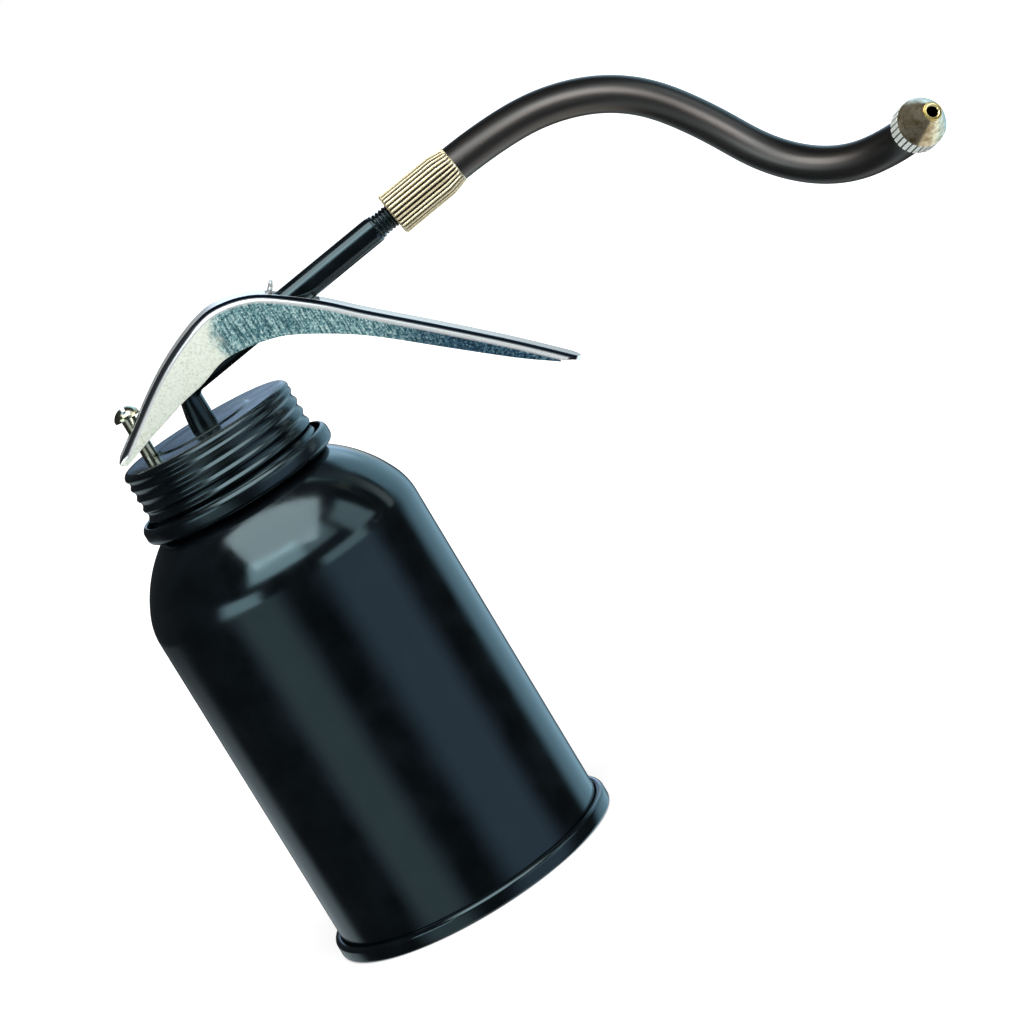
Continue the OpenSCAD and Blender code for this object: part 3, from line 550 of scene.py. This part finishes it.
def tube_line():
    """The tube's middle, its directions and its lengths: straight up, a bend, then straight along the slope."""
    up = np.linspace(130.0, BEND_Z, 28)[:-1]
    turn = np.linspace(0, TURN, 25)
    out = np.concatenate([np.linspace(0, FULL_LEN, 60)[1:], FULL_LEN + np.linspace(0, CONE_STEP, 8)[1:],
                          FULL_LEN + CONE_STEP + np.linspace(0, THREAD_LEN, 181)[1:]])
    centres = np.concatenate([
        np.stack([np.full(len(up), RISER_X), 0 * up, up], -1),
        np.stack([RISER_X + BEND_R * (1 - np.cos(turn)), 0 * turn, BEND_Z + BEND_R * np.sin(turn)], -1),
        BEND_END + out[:, None] * ALONG,
    ])
    along = np.concatenate([
        np.tile([0, 0, 1.0], (len(up), 1)),
        np.stack([np.sin(turn), 0 * turn, np.cos(turn)], -1),
        np.tile(ALONG, (len(out), 1)),
    ])
    length = np.concatenate([up - BEND_Z - BEND_R * TURN, BEND_R * (turn - TURN), out])
    return centres, along, length


def spout_tube():
    """The painted tube: pressed flat outside the tight bend, with a screw thread round its end.

    Outside radius: full, then narrowing over the step, then the thread's own wave, a rounded saw of height
    over pitch plus angle. The inside is carried back along the same line.
    """
    centres, along, length = tube_line()
    sides = 72
    start = FULL_LEN + CONE_STEP
    radius = np.interp(length, [FULL_LEN, start], [TUBE_D / 2, THREAD_D / 2])[:, None]
    cut = smooth_step(length, FULL_LEN - 0.6, FULL_LEN + 0.8)[:, None]
    wave = 0.5 + 0.5 * np.cos(2 * np.pi * (length[:, None] - start) / TUBE_PITCH - ring_angles(sides)[None])
    radius = radius - 0.34 * cut * (1 - wave ** 0.7)
    near = np.exp(-((length[:, None, None] + 3.5) / 5.5) ** 2)

    def pressed(rings):
        """Where a ring reaches to the outer side of the bend it is drawn in, and its width grows a little."""
        outward = np.stack([-along[:, 2], 0 * length, along[:, 0]], -1)[:, None]
        reach = (rings * outward).sum(-1, keepdims=True)
        wide = rings * [0, 1, 0]
        return rings - outward * np.clip(reach, 0, None) * 0.42 * near + wide * 0.09 * near

    outer = carried(centres, along, radius, pressed, sides, start=(0, 1, 0))
    bore = np.where(length > FULL_LEN, TUBE_BORE - 0.8, TUBE_BORE)[:, None] / 2
    inner = carried(centres, along, bore, pressed, sides, start=(0, 1, 0))
    return np.concatenate([outer, inner[::-1]])


piece("spout_tube_painted", spout_tube(), TUBE_ENAMEL, "pump_head", "spout_tube")


# The lever.

LEVER_W, LEVER_SHEET, LEVER_BEND = 14.6, 1.2, 2.2
LEVER_START, LEVER_END, DRAWN_BACK = -22.3, 91.3, 7.0
# x, height of the top face, height of the flange's lower edge
LEVER_ROWS = np.array([
    [LEVER_START, 140.0, 139.6], [-21.2, 140.85, 138.8], [-20.0, 141.7, 138.7], [-13.0, 146.8, 141.2],
    [-6.5, 151.4, 143.2], [-0.5, 155.1, 145.1], [6.0, 158.3, 146.5], [12.5, 160.7, 148.7],
    [18.0, 161.5, 148.9], [25.0, 160.3, 147.8], [31.5, 157.1, 145.6], [41.8, 149.2, 139.7],
    [50.3, 141.3, 133.6], [63.0, 129.9, 123.0], [76.0, 118.0, 112.3], [84.0, 110.3, 106.4],
    [LEVER_END, 103.0, 101.3],
])
# where each opening starts and ends, and half its width
SLOT, ROD_HOLE = (30.8, 41.8, 4.2), (-18.3, -10.7, 2.4)


def through_rows(steps=8):
    """A smooth curve through the lever's rows: the cubic that keeps the slope of each row's neighbours."""
    p = LEVER_ROWS
    q = [p[np.clip(np.arange(len(p) - 1) + k, 0, len(p) - 1)][:, None] for k in (-1, 0, 1, 2)]
    t = np.linspace(0, 1, steps, endpoint=False)[None, :, None]
    curve = 0.5 * (2 * q[1] + (q[2] - q[0]) * t + (2 * q[0] - 5 * q[1] + 4 * q[2] - q[3]) * t ** 2
                   + (3 * q[1] - q[0] - 3 * q[2] + q[3]) * t ** 3)
    return np.concatenate([curve.reshape(-1, 3), p[-1:]])


def lever_skin():
    """The lever's outer surface, its map, its marks for painted highlight and painted shade, and which of its
    cells are cut out.

    Across, a row runs up the near flange, round the bend, over the web and down the far flange. Along, the
    top and the flange's edge follow the smooth profile. The free end is rounded in plan, drawn back by
    7 (1 - (1 - |y / half|^3)^(1/3)), and the bends get smaller towards the short arm's end. The mark for the
    painted highlight is 0 on the flanges and rises to 1 over the first part of the bend. The mark for the
    painted shade is a line on the bend beside the web, and on the short arm it covers most of the bend.
    """
    curve = through_rows()
    x = np.unique(np.concatenate([np.linspace(LEVER_START, -16, 24), np.linspace(-16, 80, 140),
                                  np.linspace(80, LEVER_END, 46), SLOT[:2], ROD_HOLE[:2]]).round(4))
    half, inner = LEVER_W / 2, LEVER_W / 2 - LEVER_BEND
    openings = [-SLOT[2], SLOT[2], -ROD_HOLE[2], ROD_HOLE[2]]
    web = np.unique(np.concatenate([np.linspace(-inner, inner, 19), openings]).round(4))[1:-1]
    bend = np.radians(np.linspace(180, 90, 13))
    flange = np.linspace(0, 1, 13)[:-1]
    whole = np.ones(len(flange))
    y = np.concatenate([-half * whole, -inner + LEVER_BEND * np.cos(bend), web,
                        inner - LEVER_BEND * np.cos(bend[::-1]), half * whole])
    below = np.concatenate([whole, 1 - np.sin(bend), 0 * web, 1 - np.sin(bend[::-1]), whole])
    share = np.concatenate([flange, np.ones(len(y) - 2 * len(flange)), flange[::-1]])
    off_middle = 1 - (1 - np.clip(np.abs(y) / half, 0, 0.995) ** 3) ** (1 / 3)
    xs = x[:, None] - off_middle[None] * (DRAWN_BACK * smooth_step(x, 76, LEVER_END))[:, None]
    top = np.interp(xs, curve[:, 0], curve[:, 1])
    slope = np.interp(xs, curve[:, 0], np.gradient(curve[:, 1], curve[:, 0]))
    stretch = np.sqrt(1 + slope ** 2)
    size = (LEVER_BEND - 1.7 * (1 - smooth_step(x, LEVER_START, -19.0)))[:, None]
    foot = np.minimum(np.interp(xs, curve[:, 0], curve[:, 2]), top - (size + 0.1) * stretch)
    z = top - size * stretch * below[None]
    z = np.where(share[None] < 1, foot + (z - foot) * share[None], z)
    grid = np.stack([xs, np.broadcast_to(y, xs.shape), z], -1)
    middle = grid[len(x) // 2]
    across = np.concatenate([[0], np.cumsum(np.linalg.norm(np.diff(middle, axis=0), axis=1))])
    rise = np.diff(np.interp(x, curve[:, 0], curve[:, 1]))
    length = np.concatenate([[0], np.cumsum(np.hypot(np.diff(x), rise))])
    maps = np.stack(np.broadcast_arrays(across[None], length[:, None]), -1)
    # Mark for the painted highlight: 0 on the flanges, 1 over the bend and the web.
    fold_highlight = np.broadcast_to(smooth_step(1 - below, 0.02, 0.22), xs.shape)
    # Mark for the painted shade: a line on the bend beside the web, and most of the bend on the short arm.
    lean = np.degrees(np.arccos(1 - below))[None]
    off_web = smooth_step(lean, 0, 7.5)
    line = off_web * (1 - smooth_step(lean, 50, 60))
    band = 0.97 * off_web * (1 - smooth_step(lean, 56, 72))
    on_short_arm = 1 - smooth_step(x, 8, 17)[:, None]
    seam_shade = line * (1 - on_short_arm) + band * on_short_arm
    mid_x, mid_y = (x[1:] + x[:-1]) / 2, (y[1:] + y[:-1]) / 2
    cut = np.zeros((len(mid_x), len(mid_y)), bool)
    for start, end, wide in (SLOT, ROD_HOLE):
        cut |= ((mid_x > start) & (mid_x < end))[:, None] & (np.abs(mid_y) < wide)[None]
    return grid, maps, {"fold_highlight": fold_highlight, "seam_shade": seam_shade}, cut


def make_lever():
    """The folded lever: the outer surface given its sheet's thickness, with softened cut edges."""
    grid, maps, marks, cut = lever_skin()
    rows, cols = grid.shape[:2]
    r, c = np.nonzero(~cut)
    faces = np.stack([r * cols + c, (r + 1) * cols + c, (r + 1) * cols + c + 1, r * cols + c + 1], -1)
    used = np.unique(faces)
    renumber = np.zeros(rows * cols, int)
    renumber[used] = np.arange(len(used))
    mesh = bpy.data.meshes.new("squeeze_lever")
    mesh.from_pydata((grid.reshape(-1, 3)[used] * MM).tolist(), [], renumber[faces].tolist())
    layer = mesh.uv_layers.new(name="folded")
    layer.data.foreach_set("uv", maps.reshape(-1, 2)[faces].reshape(-1))
    for mark, values in marks.items():
        mesh.attributes.new(mark, "FLOAT", "POINT").data.foreach_set("value", values.reshape(-1)[used])
    mesh.shade_smooth()
    made = finish_piece("squeeze_lever", mesh, ZINC, "hand_lever", "lever")
    wall = made.modifiers.new("sheet", "SOLIDIFY")
    wall.thickness = LEVER_SHEET * MM
    wall.offset = -1
    wall.use_even_offset = True
    soften_edges(made, 0.22, 50)


make_lever()
TONGUE_LEN = 4.5


def tongue():
    """The small tongue at the slot: a strip that runs a little way over the tube and is then bent up.

    Its section is a rounded rectangle that narrows to the tip.
    """
    t = np.linspace(0, 1, 22)
    lift = np.radians(8 + 44 * smooth_step(t, 0.28, 0.5))
    steps = np.stack([np.cos(lift), 0 * t, np.sin(lift)], -1)[1:] * TONGUE_LEN / (len(t) - 1)
    line = np.array([30.2, 0, 156.8]) + np.concatenate([[[0, 0, 0]], np.cumsum(steps, 0)])
    across = np.stack([-np.sin(lift), 0 * t, np.cos(lift)], -1)
    section = eased([(-1, -0.5, 0.3), (1, -0.5, 0.3), (1, 0.5, 0.3), (-1, 0.5, 0.3)], 3)
    wide = (3.0 - 1.8 * smooth_step(t, 0.55, 1.0))[:, None, None]
    thick = (1.15 - 0.35 * smooth_step(t, 0.7, 1.0))[:, None, None]
    return (line[:, None] + wide * section[None, :, :1] * np.array([0, 1.0, 0])
            + thick * section[None, :, 1:] * across[:, None]), line


strip, strip_line = tongue()
# The tongue gets part of the painted highlight and of the painted shade of the lever's bends.
piece("lever_tongue", strip, ZINC, "hand_lever", looped=False,
      poles=(strip_line[0], strip_line[-1] + [0.15, 0, 0.2]), marks={"fold_highlight": 0.8, "seam_shade": 0.45})


# The coupling.

COUPLING_AT, COUPLING_D, COUPLING_LEN = 64.5, 11.9, 20.2
HOSE_D, HOSE_BORE = 9.6, 5.0
FLUTES = 30


def fluted(grid, depth, count, amount, edges):
    """Straight flutes: the radius drops by the depth in narrow round-bottomed grooves between lands.

    The edges are the shares of half a pitch at which a groove's side starts and ends. The marks say where the
    knurl is and how deep each place lies in a groove, by which the material paints shade in the grooves.
    """
    sides = grid.shape[1]
    share = np.abs(((np.arange(sides) / sides * count) % 1) - 0.5) * 2
    shape = 1 - smooth_step(share, *edges)
    radius = np.linalg.norm(grid[..., :2], axis=-1, keepdims=True)
    keep = 1 - depth * shape[None, :, None] * amount[:, None, None] / np.maximum(radius, 1)
    knurl = np.broadcast_to(amount[:, None], grid.shape[:2])
    marks = {"knurl": knurl, "groove": knurl * smooth_step(shape, 0.25, 0.8)[None]}
    return grid * np.concatenate([keep, keep, np.ones_like(keep)], -1), marks


def coupling():
    """The coupling: fluted barrel with a small chamfer, fluted taper, plain lip, hose socket, seat and bore."""
    big, small, bore = COUPLING_D / 2, 5.05, 3.4
    taper = COUPLING_LEN - 4.6
    lengths = np.concatenate([np.linspace(0.55, taper, 24), np.linspace(taper, COUPLING_LEN - 0.5, 10)[1:]])
    outer = np.stack([np.interp(lengths, [0, taper, COUPLING_LEN], [big, big, small]), lengths], -1)
    lip, socket = COUPLING_LEN, HOSE_D / 2
    rest = np.array([[small - 0.12, lip - 0.1], [small - 0.2, lip], [socket + 0.06, lip], [socket, lip - 0.1],
                     [socket, 11.6], [2.8, 11.6], [2.8, 10.4], [bore, 10.4], [bore, 0.3], [bore + 0.3, 0],
                     [big - 0.62, 0], [big - 0.5, 0.06]])
    outline = np.concatenate([outer, rest])
    amount = np.concatenate([np.ones(len(lengths)), np.zeros(len(rest))])
    amount[len(lengths) - 1] = 0.7
    amount[-1] = 0.6
    return fluted(turned(outline, FLUTES * 14), depth=0.5, count=FLUTES, amount=amount, edges=(0.16, 0.84))


coupling_start = BEND_END + COUPLING_AT * ALONG
turned_coupling, coupling_marks = coupling()
piece("hose_coupling", on_axis(turned_coupling, coupling_start, ALONG, FRONT), KNURLED_BRASS, "hose",
      "coupling_nut", crease=28, marks=coupling_marks)


# The hose.

HOSE_BENDS = ((128, 8, -10), (50, 23, 1), (40, 30, 5), (66, 17, 55), (40, 29, 142), (34, 32, 142), (31, 33, 82))
HOSE_STRAIGHT, HOSE_HELD = 4.1, 7.6
HOSE_START = BEND_END + (COUPLING_AT + COUPLING_LEN) * ALONG


def hose_line():
    """The hose's middle line.

    It is the same run of bends as in the source, each one p + R (sin a * along + (1 - cos a) * toward), with a
    straight end in the collar; the directions are then averaged over a few mm, summed up again, and the small
    drift at the end taken out evenly, so that the curvature changes smoothly.
    """
    step, spread = 0.5, 3.0
    place, along, down, front = HOSE_START, ALONG, DOWN, FRONT
    directions = [np.tile(ALONG, (int(HOSE_HELD / step), 1))]
    begin = place - HOSE_HELD * ALONG
    for radius, angle, turn in HOSE_BENDS:
        a, t = math.radians(angle), math.radians(turn)
        toward = math.cos(t) * down + math.sin(t) * front
        aside = math.cos(t) * front - math.sin(t) * down
        theta = np.linspace(0, a, max(int(radius * a / step), 2), endpoint=False)[:, None]
        directions.append(np.cos(theta) * along + np.sin(theta) * toward)
        place = place + radius * (math.sin(a) * along + (1 - math.cos(a)) * toward)
        inward = math.cos(a) * toward - math.sin(a) * along
        along = math.cos(a) * along + math.sin(a) * toward
        down, front = (math.cos(t) * inward - math.sin(t) * aside, math.sin(t) * inward + math.cos(t) * aside)
    directions.append(np.tile(along, (round(HOSE_STRAIGHT / step), 1)))
    place = place + HOSE_STRAIGHT * along
    raw = np.concatenate(directions)
    reach = int(3 * spread / step)
    weight = np.exp(-0.5 * (np.arange(-reach, reach + 1) * step / spread) ** 2)
    padded = np.concatenate([np.tile(raw[0], (reach, 1)), raw, np.tile(along, (reach, 1))])
    flowing = np.stack([np.convolve(padded[:, k], weight / weight.sum(), "valid") for k in range(3)], -1)
    flowing /= np.linalg.norm(flowing, axis=1, keepdims=True)
    line = begin + np.concatenate([[[0, 0, 0]], np.cumsum(flowing, 0)]) * step
    line += np.linspace(0, 1, len(line))[:, None] * (place - line[-1])
    tangents = np.gradient(line, axis=0)
    tangents[0], tangents[-1] = ALONG, along
    return line, tangents / np.linalg.norm(tangents, axis=1, keepdims=True), place, along, down


def hose(line, tangents):
    """The hose: a round wall carried along its line, the outside out and the bore back, with softened ends."""
    steps = len(line)
    outer = np.full((steps, 1), HOSE_D / 2)
    outer[[0, -1]] -= 0.3
    rings = carried(line, tangents, outer, sides=64)
    bore = carried(line, tangents, np.full((steps, 1), HOSE_BORE / 2 + 0.02), sides=64)
    return np.concatenate([rings, bore[::-1]])


hose_middle, hose_along, HOSE_END, HOSE_AIM, HOSE_DOWN = hose_line()
rubber_hose = piece("rubber_hose", hose(hose_middle, hose_along), RUBBER, None, "flex_hose")
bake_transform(rubber_hose)


# The nozzle.

COLLAR_D, COLLAR_GRIP, COLLAR_FRONT, CONE_LEN, TIP_D, TIP_BORE, PLUG_R = 12.6, 4.0, 1.5, 8.0, 4.8, 2.6, 1.9
CONE_END = COLLAR_FRONT + CONE_LEN
COLLAR_FLUTES, FIRST_BORE_ROW = 28, 26


def nozzle():
    """The nozzle: fluted collar with soft ends, a narrow shoulder, the short cone and the bores inside."""
    big, cone = COLLAR_D / 2, COLLAR_D / 2 - 0.02
    lengths = np.linspace(-COLLAR_GRIP + 0.35, COLLAR_FRONT - 0.25, 16)
    collar = np.stack([np.full(len(lengths), big), lengths], -1)
    shoulder = [[big - 0.12, COLLAR_FRONT - 0.12], [big - 0.16, COLLAR_FRONT + 0.02]]
    taper = np.linspace(0.12, CONE_LEN, 30)
    swell = 0.22 * np.sin(np.pi * taper / CONE_LEN)
    cone_side = np.stack([np.interp(taper, [0, CONE_LEN], [cone, TIP_D / 2]) + swell, taper + COLLAR_FRONT], -1)
    socket, back = HOSE_D / 2, -COLLAR_GRIP
    inside = np.array([[PLUG_R, CONE_END], [PLUG_R, 4.0], [2.5, 4.0], [2.5, 0], [socket, 0], [socket, back],
                       [big - 0.75, back], [big - 0.4, back + 0.1]])
    outline = np.concatenate([collar, shoulder, cone_side, inside])
    amount = np.zeros(len(outline))
    amount[:len(collar)] = 1.0
    amount[[len(collar), -1]] = 0.6
    return fluted(turned(outline, COLLAR_FLUTES * 12), depth=0.34, count=COLLAR_FLUTES, amount=amount,
                  edges=(0.04, 0.42))


turned_nozzle, nozzle_marks = nozzle()
piece("nozzle_shell", on_axis(turned_nozzle, HOSE_END, HOSE_AIM, HOSE_DOWN), NICKEL, "nozzle_end",
      "nozzle", crease=28, marks=nozzle_marks)


def orifice():
    """The brass orifice: a plug with a rim dished towards its bore, which the groove mark paints black as
    shade.
    """
    point, bore, start = TIP_D / 2, TIP_BORE / 2, CONE_END - 5
    corners = [(PLUG_R, start, 0.1), (PLUG_R, CONE_END, 0.02), (point, CONE_END, 0.1),
               (point - 0.05, CONE_END + 0.6, 0.16), (bore + 0.3, CONE_END + 0.55, 0.12),
               (bore, CONE_END + 0.2, 0.1), (bore, start, 0.1)]
    outline = eased(corners, 4)
    in_bore = np.arange(len(outline)) >= FIRST_BORE_ROW
    return turned(outline, 96), {"groove": in_bore[:, None].astype(float)}


turned_orifice, orifice_marks = orifice()
piece("nozzle_orifice", on_axis(turned_orifice, HOSE_END, HOSE_AIM, HOSE_DOWN), TIP_BRASS, "nozzle_end",
      "nozzle_tip", crease=30, marks=orifice_marks)


# The pump rod.

def softened_copy(node, name, material, body, width):
    """A CAD node's own shape with its loose triangles joined and its edges rounded off by a narrow bevel."""
    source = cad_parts[node]
    mesh = source.data.copy()
    mesh.name = name
    mesh.transform(source.matrix_world)
    mesh.materials.clear()
    work = bmesh.new()
    work.from_mesh(mesh)
    bmesh.ops.remove_doubles(work, verts=work.verts, dist=2e-6)
    bmesh.ops.dissolve_limit(work, angle_limit=math.radians(1.0), verts=work.verts, edges=work.edges)
    work.to_mesh(mesh)
    work.free()
    mesh.shade_smooth()
    mesh.set_sharp_from_angle(angle=math.radians(35))
    soften_edges(finish_piece(name, mesh, material, body, node), width, 35)


softened_copy("pump_rod", "plunger_rod", ROD_STEEL, "plunger", 0.16)


# The return spring.

ROD_X, ROD_LIFT = -15.1, 9.7
SPRING_R, SPRING_WIRE, SPRING_TURNS = 3.6, 0.8, 9
SPRING_LOW, SPRING_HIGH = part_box("return_spring")[0][2] / MM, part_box("return_spring")[1][2] / MM


def return_spring():
    """A coil: rings of wire carried along the helix (R cos a, R sin a), whose height grows evenly with a."""
    turn = np.linspace(0, 2 * np.pi * SPRING_TURNS, SPRING_TURNS * 28 + 1)
    height = np.linspace(SPRING_LOW + SPRING_WIRE / 2, SPRING_HIGH - SPRING_WIRE / 2, len(turn))
    line = np.stack([ROD_X + SPRING_R * np.cos(turn), SPRING_R * np.sin(turn), height], -1)
    along = np.gradient(line, axis=0)
    along /= np.linalg.norm(along, axis=1, keepdims=True)
    return carried(line, along, SPRING_WIRE / 2, sides=12, start=(0, 0, 1)), line


coil, coil_line = return_spring()
spring = piece("plunger_spring", coil, INNER_STEEL, "pump_head", "return_spring", looped=False,
               poles=(coil_line[0], coil_line[-1]))
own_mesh(spring)


# The pieces that keep their CAD shape.

KEPT = (
    (CORK, ["cap_gasket"]),
    (PACKING, ["gland_packing", "piston_cup", "coupling_washer"]),
    (INNER_STEEL, ["foot_valve_ball", "strainer", "piston_ball"]),
    (INNER_BRASS, ["pump_head_block", "gland_nut", "pump_barrel", "foot_valve_body", "foot_valve_cage",
                   "suction_tube", "piston", "hose_nipple", "nozzle_nipple"]),
)
for finish, node_names in KEPT:
    for node_name in node_names:
        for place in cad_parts[node_name].material_slots:
            place.material = finish


# Floor, light and camera.

def make_floor():
    """A wide off-white floor. The camera sees it lifted to white, least near the object, whose shadow stays."""
    half = 30.0
    mesh = bpy.data.meshes.new("floor")
    corners = [(-half, -half, 0), (half, -half, 0), (half, half, 0), (-half, half, 0)]
    mesh.from_pydata(corners, [], [(0, 1, 2, 3)])
    floor = bpy.data.objects.new("floor", mesh)
    bpy.context.scene.collection.objects.link(floor)
    material, tree, place = start_material("floor_paper")
    paper = add(tree, "BsdfDiffuse", {"Color": tint("#d4d4d4")})
    far = add(tree, "VectorMath", {0: (place, "Object")}, operation="LENGTH")
    lift = add(tree, "MapRange", {"Value": (far, "Value"), "From Min": 0.06, "From Max": 0.8, "To Min": 0.5,
                                  "To Max": 1.0}, interpolation_type="SMOOTHSTEP")
    glow = add(tree, "Emission", {"Color": tint("#ffffff"), "Strength": lift})
    both = add(tree, "AddShader", {0: paper, 1: glow})
    ray = add(tree, "LightPath")
    seen = add(tree, "MixShader", {0: (ray, "Is Camera Ray"), 1: paper, 2: both})
    add(tree, "OutputMaterial", {"Surface": seen})
    mesh.materials.append(material)
    floor.visible_glossy = False


def make_world():
    """White studio walls for the camera, a plain soft fill for the object, and for reflections a dark studio.

    That studio has panels. Each row gives the azimuths from the front and the elevations between which a panel
    shines, in degrees, then its level, over how many degrees its sides fade, and its colour.
    """
    world = bpy.data.worlds.new("studio")
    bpy.context.scene.world = world
    tree = empty_tree(world)
    place = add(tree, "TexCoord")
    apart = add(tree, "SeparateXYZ", {"Vector": (place, "Generated")})
    back = add(tree, "Math", {0: (apart, "Y"), 1: -1.0}, operation="MULTIPLY")
    azimuth = add(tree, "Math", {0: (apart, "X"), 1: back}, operation="ARCTAN2")
    elevation = add(tree, "Math", {0: (apart, "Z")}, operation="ARCSINE")
    cool, blue, warm, sky = "#e6f8ff", "#a6cbf4", "#f6eee0", "#c6daf8"
    panels = (
        (-54, -14, -95, 4, 0.68, 11, cool), (-62, -28, 3, 21, 3.0, 4, cool), (24, 77, -95, 1, 0.80, 13, sky),
        (28, 72, 1, 14.5, 1.9, 4, cool), (-34, 22, 33, 51, 4.0, 4, cool), (22, 56, 33, 48, 1.5, 4, cool),
        (64, 90, 14, 44, 1.6, 3, cool), (120, 164, -95, 33, 1.2, 8, "#b4e6ff"),
        (-164, -124, -95, -11, 0.5, 8, cool), (164, 190, 0, 8, 0.9, 6, cool), (-190, -178, 0, 8, 0.9, 2, cool),
        (164, 184, 8, 14, 2.7, 6, blue), (-190, -176, 8, 14, 2.7, 6, blue),
        (152, 178, 15, 36, 1.1, 6, "#c4e2fa"),
        (120, 164, -95, -25, 0.5, 8, warm), (-190, 190, -95, -58, 0.85, 8, warm),
    )
    total = add(tree, "CombineXYZ", {"X": 0.03, "Y": 0.035, "Z": 0.038})
    for west, east, low, high, level, soft, colour in panels:
        shine = None
        for angle, edge, fade, before in ((azimuth, west, soft, 0.0), (azimuth, east, soft, 1.0),
                                          (elevation, low, 2.5, 0.0), (elevation, high, 2.5, 1.0)):
            ends = math.radians(edge - fade), math.radians(edge + fade)
            step = add(tree, "MapRange", {"Value": angle, "From Min": ends[0], "From Max": ends[1],
                                          "To Min": before, "To Max": 1.0 - before},
                       interpolation_type="SMOOTHSTEP")
            shine = add(tree, "Math", {0: shine, 1: step}, operation="MULTIPLY") if shine else step
        level_colour = tuple(level * channel for channel in tint(colour)[:3])
        total = add(tree, "VectorMath", {0: shine, 1: level_colour, 2: total}, operation="MULTIPLY_ADD")
    mirrored = add(tree, "Background", {"Color": total, "Strength": 1.0})
    fill = add(tree, "Background", {"Color": tint("#ffffff"), "Strength": 0.46})
    white = add(tree, "Background", {"Color": tint("#ffffff"), "Strength": 1.0})
    ray = add(tree, "LightPath")
    first = add(tree, "MixShader", {0: (ray, "Is Glossy Ray"), 1: fill, 2: mirrored})
    second = add(tree, "MixShader", {0: (ray, "Is Camera Ray"), 1: first, 2: white})
    add(tree, "OutputWorld", {"Surface": second})


def make_softbox(name, place, aim, size, radiance, hose_only):
    """A rectangular softbox: its power is pi times its area times the brightness that its face shows.

    It lights only the hose, or everything but the hose.
    """
    lamp = bpy.data.lights.new(name, "AREA")
    lamp.shape = "RECTANGLE"
    lamp.size, lamp.size_y = size
    lamp.energy = math.pi * size[0] * size[1] * radiance
    made = bpy.data.objects.new(name, lamp)
    bpy.context.scene.collection.objects.link(made)
    made.location = place
    made.rotation_euler = (Vector(aim) - Vector(place)).to_track_quat("-Z", "Y").to_euler()
    share = bpy.data.collections.new(name + "_share")
    share.objects.link(rubber_hose)
    share.collection_objects[0].light_linking.link_state = "INCLUDE" if hose_only else "EXCLUDE"
    made.light_linking.receiver_collection = share


def make_camera():
    """The camera at the photograph's viewing angle: where it stands and aims, its roll and its lens in mm."""
    lens = bpy.data.cameras.new("camera")
    lens.sensor_width = 36.0
    lens.lens = 131.53
    lens.clip_end = 100.0
    lens.dof.use_dof = False
    made = bpy.data.objects.new("camera", lens)
    bpy.context.scene.collection.objects.link(made)
    stand, aim = Vector((0.0559, -0.9375, 0.2533)), Vector((0.055902, 0.0, 0.077052))
    forward = (aim - stand).normalized()
    right = forward.cross(Vector((0, 0, 1))).normalized()
    up = right.cross(forward)
    roll = math.radians(-30.768)
    across = math.cos(roll) * right + math.sin(roll) * up
    above = -math.sin(roll) * right + math.cos(roll) * up
    turn = Matrix((across, above, -forward)).transposed()
    made.matrix_world = Matrix.Translation(stand) @ turn.to_4x4()
    bpy.context.scene.camera = made


make_floor()
make_world()
make_softbox("top_softbox", (0.17, -0.50, 1.15), (0.17, -0.42, 0.1), (1.23, 0.95), 4.6, False)
make_softbox("hose_front_softbox", (0.375, -0.865, 0.55), (0.14, 0.0, 0.13), (0.5, 0.5), 6.0, True)
make_softbox("hose_left_softbox", (-0.37, -0.46, 0.86), (0.16, -0.02, 0.12), (0.55, 0.55), 6.0, True)
make_camera()
bpy.context.scene.view_settings.view_transform = "Standard"
